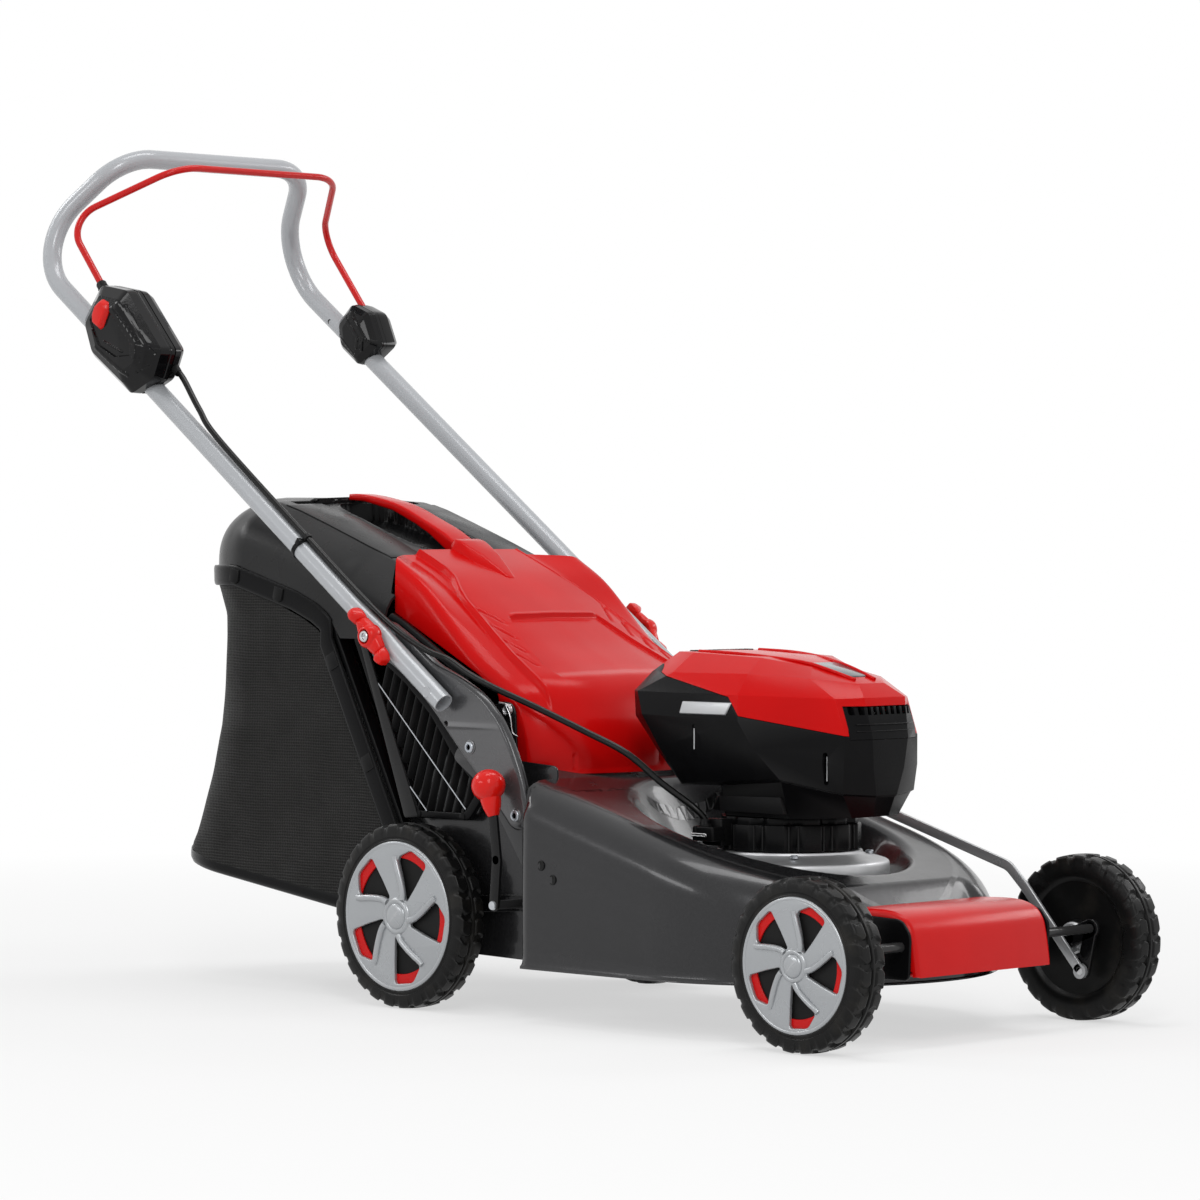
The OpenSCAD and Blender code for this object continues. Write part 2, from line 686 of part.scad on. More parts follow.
module pivot_shell(depth, side) difference() {
    at_box(pivot_s) mirror([0, 0, side]) box_half(pivot_outline, [0, 26], depth, 0.78, 0.7);
    box_rooms();
}

module pivot_box() color("black") placed() pivot_shell(box_inner_depth, 1);
module pivot_box_cover() color("black") placed() pivot_shell(26, 0);

button_at = [-56, 24, 22];
button_size = [16, 30, 22];

module safety_button() color("red") placed() mirror([0, 1, 0]) at_box(box_s)
    translate(button_at) cube(button_size);

module button_spring() color("silver") placed() mirror([0, 1, 0]) at_box(box_s)
    translate([button_at.x + 8, button_at.y + 15, 4]) difference() {
        cylinder(r = 4, h = 18);
        translate([0, 0, -1]) cylinder(r = 3, h = 20);
    }

module power_switch() color("dimgray") placed() mirror([0, 1, 0]) at_box(box_s)
    translate([-16, 28, -13.6]) cube([40, 22, 27]);

// ---- bail ----

bail_corner = [-562, 200, 873];
bail_top = [-454, 121.5, 933];
bail_path = [[bail_at.x, -leg_y, bail_at.y], [bail_corner.x, -bail_corner.y, bail_corner.z],
    [bail_top.x, -bail_top.y, bail_top.z], bail_top, bail_corner, [bail_at.x, leg_y, bail_at.y]];

module bail() color("red") placed() {
    bent_rod(bail_path, [28, 22, 22, 28], bail_d / 2);
    both_sides() cross_pin(bail_at, 4, leg_y - 17, leg_y + 19);
}

// Rubber boot where the bail leaves the switch box
module bail_boot() color("black") placed() {
    leg = unit(bail_path[1] - bail_path[0]);
    rod(bail_path[0] + 22 * leg, bail_path[0] + 38 * leg, 7, bail_d / 2 + run_fit);
}

// ---- cable ----

tie_s = 258;
lay = tube_r + 4;

module cable_tie() color("black") placed() mirror([0, 1, 0]) at_box(tie_s)
    rotate([0, 90, 0]) difference() {
        union() {
            cylinder(r = tube_r + 1.6, h = 5);
            translate([-6, 8, 0]) cube([12, 13, 5]);
        }
        translate([0, 0, -1]) cylinder(r = tube_r + run_fit, h = 7);
        translate([0, lay, -1]) cylinder(r = cable_d / 2 + 0.3, h = 7);
    }

function on_handle(s, t, y) = [pin.x, y, pin.z] + s * up + t * across;
plug_at = [motor_x - 50, -98, base_z + 10];
cable_start = 558;
split_at = on_handle(16, lay + 16, -181);
handle_route = [on_handle(cable_start, 34, -192), on_handle(538, 34, -192), on_handle(490, 24, -196),
    on_handle(440, 17, -198), on_handle(tie_s, lay, -198), on_handle(160, lay, -198),
    on_handle(90, lay + 2, -195), on_handle(40, lay + 10, -190), split_at];
deck_route = [split_at + [1.3, 0.4, -0.6], [80, -177, 361], [112, -168, 346], [150, -152, 329],
    [205, -130, 303], [255, -116, 280], [296, -106, 250], [330, -94, 226],
    plug_at + [10, 11, 22], plug_at + [10, 11, 18]];

function spline_at(a, b, c, d, t) = 0.5 * (2 * b + (c - a) * t + (2 * a - 5 * b + 4 * c - d) * t * t
    + (3 * b - a - 3 * c + d) * t * t * t);
function spline(p, n) = concat([for (i = [0 : len(p) - 2]) for (k = [0 : n - 1])
    spline_at(p[max(i - 1, 0)], p[i], p[i + 1], p[min(i + 2, len(p) - 1)], k / n)], [p[len(p) - 1]]);

// A round cord through the points route
module cord(route, d, steps) {
    line = spline(route, steps);
    last = len(line) - 1;
    sides = 10;
    rings = [for (i = [0 : last]) let (t = unit(line[min(i + 1, last)] - line[max(i - 1, 0)]),
        u = unit(cross(t, [0, 1, 0])), v = cross(t, u))
        for (k = [0 : sides - 1]) line[i] + d / 2 * (cos(k * 360 / sides) * u + sin(k * 360 / sides) * v)];
    walls = [for (i = [0 : last - 1]) for (k = [0 : sides - 1])
        [i * sides + k, i * sides + (k + 1) % sides, (i + 1) * sides + (k + 1) % sides, (i + 1) * sides + k]];
    polyhedron(rings, concat([[for (k = [sides - 1 : -1 : 0]) k]], walls,
        [[for (k = [0 : sides - 1]) last * sides + k]]));
}

module handle_cable() color("black") placed() cord(handle_route, cable_d, 4);
module deck_cable() color("black") placed() cord(deck_route, cable_d, 4);

module cable_plug() color("black") placed() translate(plug_at) difference() {
    union() {
        cube([30, 22 - part_gap, 16]);
        translate([10, 11, 15]) cylinder(r = 6, h = 8);
    }
    translate([10, 11, 16]) cylinder(r = cable_d / 2 + 0.3, h = 10);
}

// ---- rear flap ----

flap_half = flap_w / 2;
insert_half = 96;
flap_top = [[193, 256], [193, 277], [189, 298], [178, 325], [162, 345], [140, 358], [115, 370], [77, 388],
    [40, 410], [0, 434], [-51, 464], [-105, 488]];
flap_under = [[-105, 446], [95, 346], [101, 318], [108, 256]];
bow_r = 198;
bow_x = 193 - bow_r;

// Half outline of the flap across the mower: y, and the drop from its top line
flap_section = [[0, 0], [108, 0], [134, 8], [flap_half, 26], [flap_half, 400], [0, 400]];
flap_corner = [[-105, insert_half + 3], [-62, flap_half + 2]];

module flap_plan() translate([0, 0, 200]) linear_extrude(400) polygon(plan_ring(
    [flap_corner[0], flap_corner[1], [300, flap_half + 2]]));

// A section of half outline pts, run along the slope from the point at
module sloped(pts, at, slope) translate([at.x, 0, at.y]) rotate([0, slope, 0]) translate([-500, 0, 0])
    rotate([90, 0, 90]) linear_extrude(900) polygon(concat([for (p = pts) [p.x, -p.y]],
        [for (i = [len(pts) - 1 : -1 : 0]) [-pts[i].x, -pts[i].y]]));

module flap_body(inset) intersection() {
    flap_plan();
    union() {
        sloped([for (p = flap_section) [max(p.x - inset, 0), p.y]], [40, 414 - inset], 27.5);
        translate([60, -flap_half, 0]) cube([200, 2 * flap_half, 400]);
    }
    side_plate(concat([for (p = flap_top) [p.x, p.y - inset]], inset > 0 ? [[-140, 470], [-140, 200],
        [193, 200]] : flap_under), -flap_half + inset, flap_half - inset);
    translate([bow_x, 0, 0]) cylinder(r = bow_r - inset, h = 900, $fn = 128);
}

module rear_flap() color("red") placed() difference() {
    union() {
        difference() {
            flap_body(0);
            flap_body(shell_t);
        }
        both_sides() cross_pin([hinge_x, hinge_z], 9, flap_half - 14, flap_half);
        // bridge over the grip recess
        side_plate([[-90, 480], [-150, 520], [-213, 547], [-286, 556], [-288, 548], [-213, 538], [-150, 511],
            [-96, 476]], -16, 16);
    }
    cross_pin([hinge_x, hinge_z], flap_rod_d / 2 + run_fit, -200, 200);
}

module flap_rod() color("silver") placed()
    cross_pin([hinge_x, hinge_z], flap_rod_d / 2, -tunnel_half - 8, tunnel_half + 8);

module flap_springs() color("silver") placed() both_sides() translate([hinge_x, tunnel_half + 0.5, hinge_z])
    rotate([-90, 0, 0]) rotate_extrude() for (i = [0 : 2])
        translate([flap_rod_d / 2 + 1.2, 1.2 + i * 1.9]) circle(r = 1.1, $fn = 24);

insert_top = [[-105 - part_gap, 486], [-150, 506], [-213, 530], [-284, 546], [-288, 540]];

// Grip recess under the bridge and the slot for the bridge's end, wider by grow
module insert_cuts(grow) {
    side_plate([[-128 + grow, 520], [-150, 560], [-260, 570], [-262 - grow, 524 - grow], [-200, 500 - grow],
        [-140 + grow, 470 - grow]], -60 - grow, 60 + grow);
    side_plate([[-80, 462 - grow], [-80, 600], [-300, 600], [-300, 534 - grow], [-250, 534 - grow]],
        -16 - part_gap - grow, 16 + part_gap + grow);
}

module flap_insert() color("black") placed() difference() {
    side_plate(concat(insert_top, [[-290, 522], [-105 - part_gap, 440]]), -insert_half, insert_half);
    difference() {
        side_plate(concat([for (p = insert_top) [max(p.x, -285), p.y - shell_t]], [[-285, 400],
            [-105 - part_gap - shell_t, 400]]), -insert_half + shell_t, insert_half - shell_t);
        insert_cuts(shell_t);
    }
    insert_cuts(0);
}

// ---- side louvres ----

louvre_line = [[-110, 398], [-18, 204], [70, 204], [98, 238], [58, 278], [20, 322], [-20, 356], [-72, 392]];
louvre_hole = [[-92, 384], [-6, 212], [64, 212], [86, 238], [50, 270], [12, 316], [-26, 348], [-76, 380]];
louvre_y = 162;

module side_louvres() color("black") placed() both_sides() {
    difference() {
        side_plate(louvre_line, louvre_y, louvre_y + 8);
        side_plate(louvre_hole, louvre_y - 1, louvre_y + 9);
    }
    for (p = [[-6, 208], [62, 208], [93, 236]]) cross_pin(p, 4, tunnel_half + part_gap, louvre_y + 1);
    intersection() {
        side_plate(louvre_hole, louvre_y, louvre_y + 8);
        union() {
            for (i = [0 : 12]) translate([-118 + i * 14, louvre_y, 180]) rotate([0, 18, 0]) cube([3, 7, 240]);
            for (h = [0, 62]) translate([-150, louvre_y + 1, 424 - h]) rotate([0, 44, 0]) cube([300, 2, 4]);
        }
    }
}

// ---- wheels and height adjuster ----

// A flat arm between two points in x and z
module arm(a, b, r, y0, y1) {
    n = r * unit([a.y - b.y, b.x - a.x]);
    side_plate([a + n, b + n, b - n, a - n], y0, y1);
    cross_pin(a, r, y0, y1);
    cross_pin(b, r, y0, y1);
}

rear_arm_y = rear_inner_y - 3 - arm_t;
front_arm_y = front_inner_y - 3 - arm_t;
rear_hub = [0, rear_z];
front_hub = [wheelbase, front_z];
link_drop = [-10, -45];
link_y = tunnel_half + 1.5;
link_t = 4;
link_front_y = front_arm_y - link_t - 1;

module crank_axle(crank, hub, arm_y, hub_y) {
    cross_pin(crank, crank_d / 2, -arm_y - arm_t, arm_y + arm_t);
    both_sides() {
        arm(crank, hub, 10, arm_y, arm_y + arm_t);
        cross_pin(hub, spindle_d / 2, arm_y, hub_y);
    }
}

module rear_axle() color("silver") placed() {
    crank_axle(rear_crank, rear_hub, rear_arm_y, rear_face_y - 12);
    arm(rear_crank, rear_crank + link_drop, 8, rear_arm_y, rear_arm_y + arm_t);
    cross_pin(rear_crank + link_drop, 4, link_y, rear_arm_y + 1);
}

module front_axle() color("silver") placed() {
    crank_axle(front_crank, front_hub, front_arm_y, front_face_y - 12);
    arm(front_crank, front_crank + link_drop, 8, front_arm_y, front_arm_y + arm_t);
    cross_pin(front_crank + link_drop, 4, link_front_y, front_arm_y + 1);
}

// Height lever on the right: inboard arm, cross bar, upright arm and grip cone
lever_foot = [150, 120];
lever_ball_at = [141, rear_crank.y + lever_h];
ball_gap = 1.4;
lever_y = bracket_y + ball_d / 2 + ball_gap;
lever_hub_y = tunnel_half + 2;

module height_lever() color("black") placed() mirror([0, 1, 0]) difference() {
    union() {
        arm(rear_crank, lever_foot, 9, lever_hub_y, lever_hub_y + arm_t);
        cross_pin(lever_foot, 5, lever_hub_y, lever_y + arm_t);
        arm(lever_foot, [154, 168], 6, lever_y, lever_y + arm_t);
        arm([154, 168], [153, 199], 6, lever_y, lever_y + arm_t);
    }
    cross_pin(rear_crank, crank_d / 2 + run_fit, lever_hub_y - 1, lever_hub_y + arm_t + 1);
}

module lever_ball() color("red") placed() mirror([0, 1, 0]) translate([153, lever_y + arm_t / 2, 196])
    rotate([0, atan2(lever_ball_at.x - 153, lever_ball_at.y - 196), 0]) difference() {
        rotate_extrude() union() {
            polygon([[0, 4], [6, 4], [9, 14], [9, 20], [13, lever_ball_at.y - 208],
                [0, lever_ball_at.y - 208]]);
            intersection() {
                translate([0, lever_ball_at.y - 196]) circle(d = ball_d);
                translate([0, -50]) square(200);
            }
        }
        translate([-8, -arm_t / 2 - 0.1, -30]) cube([16, arm_t + 0.2, 42]);
    }

// Flat bar that turns both crank shafts together, on the left
link_front = [front_crank + link_drop, [nose_x - 55, 138], [nose_x - 78, 160], [235, 246]];
link_rear = [[235, 250], [200, 266], [158, 264], [134, 205], rear_crank + link_drop];

module link_rod() color("silver") placed() difference() {
    union() {
        for (i = [0 : 2]) arm(link_front[i], link_front[i + 1], 5.5, link_front_y, link_front_y + link_t);
        for (i = [0 : 3]) arm(link_rear[i], link_rear[i + 1], 5.5, link_y, link_y + link_t);
        cross_pin(link_front[0], 8, link_front_y, link_front_y + link_t);
        cross_pin(link_rear[4], 8, link_y, link_y + link_t);
        translate([230, link_y, 242.5]) cube([11, link_front_y + link_t - link_y, 10]);
    }
    cross_pin(link_front[0], 4 + run_fit, 0, 300);
    cross_pin(link_rear[4], 4.4, 0, 300);
}

// A wheel standing on its inner face, with its bore up the z axis
module wheel(d, w) {
    rim = d / 2 - tread_depth;
    difference() {
        rotate_extrude($fn = 96) polygon([[0, 0], [16, 0], [19, 8], [rim - 8, 6], [rim - 4, 1],
            [d / 2 - 9, 0], [d / 2 - 2, 4], [d / 2, 7], [d / 2, w - 7], [d / 2 - 2, w - 4], [d / 2 - 9, w], [rim, w],
            [rim, w - 5], [rim - 6, w - 5], [rim - 8, 10], [17, 12], [17, w - 14], [0, w - 14]]);
        translate([0, 0, -1]) cylinder(r = spindle_d / 2 + run_fit, h = w + 2);
    }
}

// Spoked cap that closes the wheel's outer side, standing on its inner face
module cap(d) {
    r = d / 2 - tread_depth - part_gap / 2;
    difference() {
        union() {
            rotate_extrude($fn = 96) polygon([[0, 0], [r, 0], [r, 4], [r - 2, 5], [r - 12, 4], [22, 5],
                [17, 9], [12, 10.5], [0, 11]]);
            translate([0, 0, -8]) cylinder(r = 16, h = 9);
        }
        translate([0, 0, -9]) cylinder(r = 13, h = 14);
        for (i = [0 : spokes - 1]) rotate([0, 0, i * 360 / spokes]) translate([0, 0, -1])
            linear_extrude(20) cap_window(r);
    }
}

module cap_window(r) {
    half = 180 / spokes - 14;
    polygon(concat([polar(20, -half * 0.4), polar(r - 9, -half)],
        [for (a = [-half / 2, 0, half / 2]) polar(r - 9, a)], [polar(r - 9, half), polar(20, half * 0.4)]));
}

// Stands its children at a wheel centre with their z outwards on the left
module at_wheel(hub, y) translate([hub.x, y, hub.y]) rotate([-90, 0, 0]) children();

module rear_wheel() at_wheel(rear_hub, rear_inner_y) wheel(rear_wheel_d, rear_wheel_w);
module front_wheel() at_wheel(front_hub, front_inner_y) wheel(front_wheel_d, front_wheel_w);
module rear_cap() at_wheel(rear_hub, rear_face_y - 5) cap(rear_wheel_d);
module front_cap() at_wheel(front_hub, front_face_y - 5) cap(front_wheel_d);

module wheel_rear_left() color("black") placed() rear_wheel();
module wheel_rear_right() color("black") placed() mirror([0, 1, 0]) rear_wheel();
module wheel_front_left() color("black") placed() front_wheel();
module wheel_front_right() color("black") placed() mirror([0, 1, 0]) front_wheel();
module cap_rear_left() color("silver") placed() rear_cap();
module cap_rear_right() color("silver") placed() mirror([0, 1, 0]) rear_cap();
module cap_front_left() color("silver") placed() front_cap();
module cap_front_right() color("silver") placed() mirror([0, 1, 0]) front_cap();

// ---- grass bag ----

bag_lean = 8.4;
bag_corner_r = 110;
bag_rear_x = -450;
bag_rear_z = 160;

// Leaning prism with rounded rear corners that trims the bag's parts
module bag_prism(inset) {
    half = bag_half - inset;
    r = bag_corner_r - inset;
    translate([bag_rear_x + inset, 0, bag_rear_z]) rotate([0, bag_lean, 0]) translate([0, 0, -150])
        linear_extrude(700) union() {
            translate([r, -half]) square([700, 2 * half]);
            translate([0, -half + r]) square([r + 1, 2 * (half - r)]);
            for (s = [-1, 1]) translate([r, s * (half - r)]) circle(r, $fn = 96);
        }
}

bag_top = [[-62, 466], [-112, 487], [-170, 508], [-215, 524], [-256, 538], [-300, 550], [-328, 554],
    [-362, 549], [-386, 536], [-402, 514], [-410, 490], [-412, 468]];
bag_seam = [[-302, 473], [-203, 446], [-150, 424], [-131, 400], [-62, 400]];
// Half outline of the cover across the mower: y, and the drop from its top line
cover_section = [[0, 0], [106, 0], [130, 5], [148, 16], [160, 34], [bag_half - 2, 74], [bag_half - 2, 200],
    [0, 200]];

// The cover's outer form, or its inside when inset is its wall
module cover_form(inset) intersection() {
    side_plate(concat([for (p = bag_top) [p.x + (p.x < -380 ? inset : 0), p.y - inset]],
        inset > 0 ? [[-408, 300], [-62, 300]] : bag_seam), -bag_half, bag_half);
    sloped([for (p = cover_section) [max(p.x - inset, 0), p.y]], [-112, 494 - inset], 18);
    // rounded rear corners
    intersection_for (s = [-1, 1]) rotate([0, 0, s * 45])
        side_plate([for (p = cover_diagonal) [p.x + (p.x < 0 ? inset : 0), p.y - inset]], -500, 500);
    if (inset == 0) cover_plan();
    else translate([-600, -200, 0]) cube([600 - 112 - shell_t, 400, 700]);
}
cover_diagonal = [[-374, 300], [-374, 474], [-350, 477], [-344, 489], [-334, 511], [-321, 533], [-306, 550],
    [-290, 562], [400, 562], [400, 300]];

// Keeps the cover behind the flap's rear edge
module cover_plan() difference() {
    translate([-600, -200, 0]) cube([800, 400, 700]);
    linear_extrude(700) polygon(plan_ring([[-112, insert_half + 3], [-69, flap_half + 1],
        [-69, flap_half + 2], [300, flap_half + 2]]));
}

// Room in the cover for the flap's insert, wider by grow
module insert_room(grow) side_plate([[-60, 418 - grow], [-292 - grow, 518 - grow], [-292 - grow, 640],
    [-60, 640]], -insert_half - part_gap - grow, insert_half + part_gap + grow);

module bag_cover() color("dimgray") placed() {
    intersection() {
        bag_prism(0);
        difference() {
            cover_form(0);
            insert_room(0);
            difference() {
                intersection() {
                    cover_form(shell_t);
                    bag_prism(shell_t);
                }
                insert_room(shell_t);
            }
        }
    }
}

bag_back = [[-404, 466], [-391, 420], [-393, 394], [-404, 293], [-419, 238], [-438, 176]];
tray_low = [[-450, 162], [-445, 148], [-430, 138], [-360, 129], [-135, 97], [-100, 96],
    [mouth_low.x - 10, mouth_low.y - 2]];
tray_h = 15;
function lift(pts, h) = [for (p = pts) [p.x, p.y + h]];
function back(pts) = [for (i = [len(pts) - 1 : -1 : 0]) pts[i]];

// Stands its children in the mouth plane: x across the mower, y up along the mouth, z to the rear
module at_mouth() translate([mouth_low.x, 0, mouth_low.y]) rotate([0, -mouth_lean, 0])
    rotate([0, 0, 90]) rotate([90, 0, 0]) mirror([0, 0, 1]) children();

module bag_frame() color("black") placed() {
    at_mouth() linear_extrude(7) difference() {
        translate([-bag_half + 3, 0]) square([2 * bag_half - 6, mouth_len - 0.6]);
        translate([-150, 14]) square([300, mouth_len - 28]);
    }
    intersection() {
        bag_prism(0);
        difference() {
            side_plate(concat(tray_low, back(lift(tray_low, tray_h))), -bag_half, bag_half);
            side_plate(concat(lift(tray_low, 4), back(lift(tray_low, tray_h + 10))), -bag_half + 4,
                bag_half - 4);
        }
    }
}

front_shift = 7.4 * [-cos(mouth_lean), -sin(mouth_lean)];
bag_mouth = [mouth_low + front_shift + [-3, 6 + tray_h], mouth_high + front_shift + [0, -1],
    [-203, 446 - part_gap], [-302, 473 - part_gap]];

module bag_fabric() color("black") placed() intersection() {
    bag_prism(0);
    difference() {
        side_plate(concat(bag_back, lift([for (i = [0 : 5]) tray_low[i]], tray_h + part_gap), bag_mouth),
            -bag_half, bag_half);
        intersection() {
            bag_prism(fabric_t);
            side_plate(concat([[-380, 600]], [for (p = bag_back) p + [fabric_t, 0]],
                lift([for (i = [1 : 5]) tray_low[i]], tray_h + part_gap + fabric_t),
                [mouth_low + [80, tray_h + 8], mouth_high + [80, 200]]),
                -bag_half + fabric_t, bag_half - fabric_t);
        }
    }
}

deck();
front_cover();
motor_plate();
motor_base();
stator();
rotor();
spindle();
spindle_bearings();
blade_hub();
blade();
blade_bolt();
chassis_bolts();
battery_case();
front_grille();
side_accents();
battery_lid();
lid_pins();
battery_pack();
control_board();
safety_key();
handle_tube();
bracket_right();
bracket_left();
knob_right();
knob_left();
knob_bolts();
bail();
bail_boot();
switch_box();
switch_box_cover();
pivot_box();
pivot_box_cover();
safety_button();
button_spring();
power_switch();
cable_tie();
handle_cable();
deck_cable();
cable_plug();
rear_flap();
flap_insert();
flap_rod();
flap_springs();
side_louvres();
rear_axle();
front_axle();
height_lever();
lever_ball();
link_rod();
wheel_rear_right();
wheel_rear_left();
wheel_front_right();
wheel_front_left();
cap_rear_right();
cap_rear_left();
cap_front_right();
cap_front_left();
bag_cover();
bag_frame();
bag_fabric();
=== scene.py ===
import math
import bpy
import bmesh
from mathutils import Matrix, Vector, noise


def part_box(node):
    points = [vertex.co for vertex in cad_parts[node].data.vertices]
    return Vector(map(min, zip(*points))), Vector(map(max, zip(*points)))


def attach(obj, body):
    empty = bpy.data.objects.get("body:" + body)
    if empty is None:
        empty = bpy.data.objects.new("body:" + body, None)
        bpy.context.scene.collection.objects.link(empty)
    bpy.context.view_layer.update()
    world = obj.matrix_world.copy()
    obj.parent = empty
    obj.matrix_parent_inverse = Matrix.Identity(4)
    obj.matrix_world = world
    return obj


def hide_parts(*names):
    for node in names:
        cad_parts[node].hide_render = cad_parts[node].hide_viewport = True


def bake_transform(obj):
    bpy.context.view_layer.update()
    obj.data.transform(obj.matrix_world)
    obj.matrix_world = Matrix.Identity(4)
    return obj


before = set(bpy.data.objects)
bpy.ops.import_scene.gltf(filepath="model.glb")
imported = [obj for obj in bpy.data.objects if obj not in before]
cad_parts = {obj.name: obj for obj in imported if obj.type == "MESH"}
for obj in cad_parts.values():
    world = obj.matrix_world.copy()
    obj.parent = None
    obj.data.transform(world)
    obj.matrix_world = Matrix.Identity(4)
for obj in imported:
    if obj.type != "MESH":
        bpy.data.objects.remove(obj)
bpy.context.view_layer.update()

# places and small sums

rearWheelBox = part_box("wheel_rear_right")
hubX = (rearWheelBox[0].x + rearWheelBox[1].x) / 2


def place(p):
    # millimetres from the point on the ground under the rear axle
    return Vector((hubX + p[0] / 1000, p[1] / 1000, p[2] / 1000))


def mix(a, b, t):
    return a + (b - a) * t


def ease(a, b, v):
    # 0 below a, 1 above b, smooth between; a may be above b
    t = min(max((v - a) / (b - a), 0), 1)
    return t * t * (3 - 2 * t)


def softMin(a, b, k):
    h = max(k - abs(a - b), 0) / k
    return min(a, b) - h * h * k / 4


def between(points, x):
    # y at x on a line of (x, y) points with rising x
    if x <= points[0][0]:
        return points[0][1]
    for (xa, ya), (xb, yb) in zip(points, points[1:]):
        if x <= xb:
            return mix(ya, yb, (x - xa) / (xb - xa))
    return points[-1][1]


def spline(points, steps):
    # smooth line through points, steps to each stretch
    pts = [Vector(p) for p in points]
    n = len(pts)
    out = []
    for i in range(n - 1):
        a, b, c, d = pts[max(i - 1, 0)], pts[i], pts[i + 1], pts[min(i + 2, n - 1)]
        for k in range(steps):
            t = k / steps
            out.append(0.5 * (2 * b + (c - a) * t + (2 * a - 5 * b + 4 * c - d) * t * t
                              + (3 * b - a - 3 * c + d) * t * t * t))
    out.append(pts[-1])
    return out


def rounded(points, radii, steps=8):
    # a bent line through corner points, each corner an arc of its radius
    pts = [Vector(p) for p in points]
    out = [pts[0]]
    for i in range(1, len(pts) - 1):
        a, b, c = pts[i - 1], pts[i], pts[i + 1]
        u, v = (a - b).normalized(), (c - b).normalized()
        half = u.angle(v) / 2
        r = radii[i - 1]
        cut = r / math.tan(half)
        centre = b + (u + v).normalized() * (r / math.sin(half))
        p, q = b + u * cut - centre, b + v * cut - centre
        turn = p.angle(q)
        for k in range(steps + 1):
            t = k / steps
            out.append(centre + (p * math.sin((1 - t) * turn) + q * math.sin(t * turn)) / math.sin(turn))
    out.append(pts[-1])
    return out


def resample(line, step):
    # points along a line at even distances of about step
    run = [0]
    for a, b in zip(line, line[1:]):
        run.append(run[-1] + (b - a).length)
    count = max(2, int(run[-1] / step))
    out, i = [], 0
    for k in range(count + 1):
        s = run[-1] * k / count
        while i < len(line) - 2 and run[i + 1] < s:
            i += 1
        out.append(line[i].lerp(line[i + 1], (s - run[i]) / max(run[i + 1] - run[i], 1e-9)))
    return out


# meshes

def added(name, data):
    obj = bpy.data.objects.new(name, data)
    bpy.context.scene.collection.objects.link(obj)
    return obj


def settle(obj, sharp=35):
    # joins doubled points, turns faces outward, smooth shading with sharp creases
    bm = bmesh.new()
    bm.from_mesh(obj.data)
    bmesh.ops.remove_doubles(bm, verts=bm.verts, dist=2e-6)
    bmesh.ops.dissolve_degenerate(bm, edges=bm.edges, dist=1e-6)
    bmesh.ops.recalc_face_normals(bm, faces=bm.faces)
    bm.to_mesh(obj.data)
    bm.free()
    obj.data.shade_smooth()
    obj.data.set_sharp_from_angle(angle=math.radians(sharp))
    return obj


def meshPiece(name, verts, faces, look, sharp=35):
    mesh = bpy.data.meshes.new(name)
    mesh.from_pydata([place(v) for v in verts], [], faces)
    obj = added(name, mesh)
    mesh.materials.append(finish[look])
    return settle(obj, sharp)


def applied(obj, sharp=35):
    # bakes the object's modifiers into its mesh
    graph = bpy.context.evaluated_depsgraph_get()
    mesh = bpy.data.meshes.new_from_object(obj.evaluated_get(graph))
    obj.modifiers.clear()
    obj.data = mesh
    return settle(obj, sharp)


def softened(obj, width, segments=2, angle=30, sharp=35):
    mod = obj.modifiers.new("edge", "BEVEL")
    mod.width = width / 1000
    mod.segments = segments
    mod.limit_method = "ANGLE"
    mod.angle_limit = math.radians(angle)
    mod.harden_normals = False
    return applied(obj, sharp)


def combined(obj, other, kind, sharp):
    # a boolean with another object, which is used up
    mod = obj.modifiers.new("combined", "BOOLEAN")
    mod.operation = kind
    mod.solver = "EXACT"
    mod.object = other
    applied(obj, sharp)
    bpy.data.objects.remove(other)
    return obj


def cutBy(obj, cutter, sharp=35):
    return combined(obj, cutter, "DIFFERENCE", sharp)


def keepIn(obj, room, sharp=35):
    return combined(obj, room, "INTERSECT", sharp)


def thickened(obj, wall, sharp=35):
    # gives an open sheet its wall, inward
    mod = obj.modifiers.new("wall", "SOLIDIFY")
    mod.thickness = wall / 1000
    mod.offset = -1
    return applied(obj, sharp)


def stitched(obj):
    # closes seams where a sheet meets itself
    bm = bmesh.new()
    bm.from_mesh(obj.data)
    bmesh.ops.remove_doubles(bm, verts=bm.verts, dist=2e-5)
    bmesh.ops.dissolve_degenerate(bm, edges=bm.edges, dist=1e-5)
    bmesh.ops.recalc_face_normals(bm, faces=bm.faces)
    bm.to_mesh(obj.data)
    bm.free()
    return obj


def trimmed(obj, cuts, gone):
    # slices a sheet along upright planes, then drops the faces whose middles are in the gone part
    bm = bmesh.new()
    bm.from_mesh(obj.data)
    for (x, y), (nx, ny) in cuts:
        bmesh.ops.bisect_plane(bm, geom=bm.verts[:] + bm.edges[:] + bm.faces[:], dist=1e-6,
                               plane_co=place((x, y, 0)), plane_no=(nx, ny, 0))
    drop = []
    for face in bm.faces:
        c = face.calc_center_median() * 1000
        if gone(c.x - hubX * 1000, c.y, c.z):
            drop.append(face)
    bmesh.ops.delete(bm, geom=drop, context="FACES")
    bm.to_mesh(obj.data)
    bm.free()
    return obj


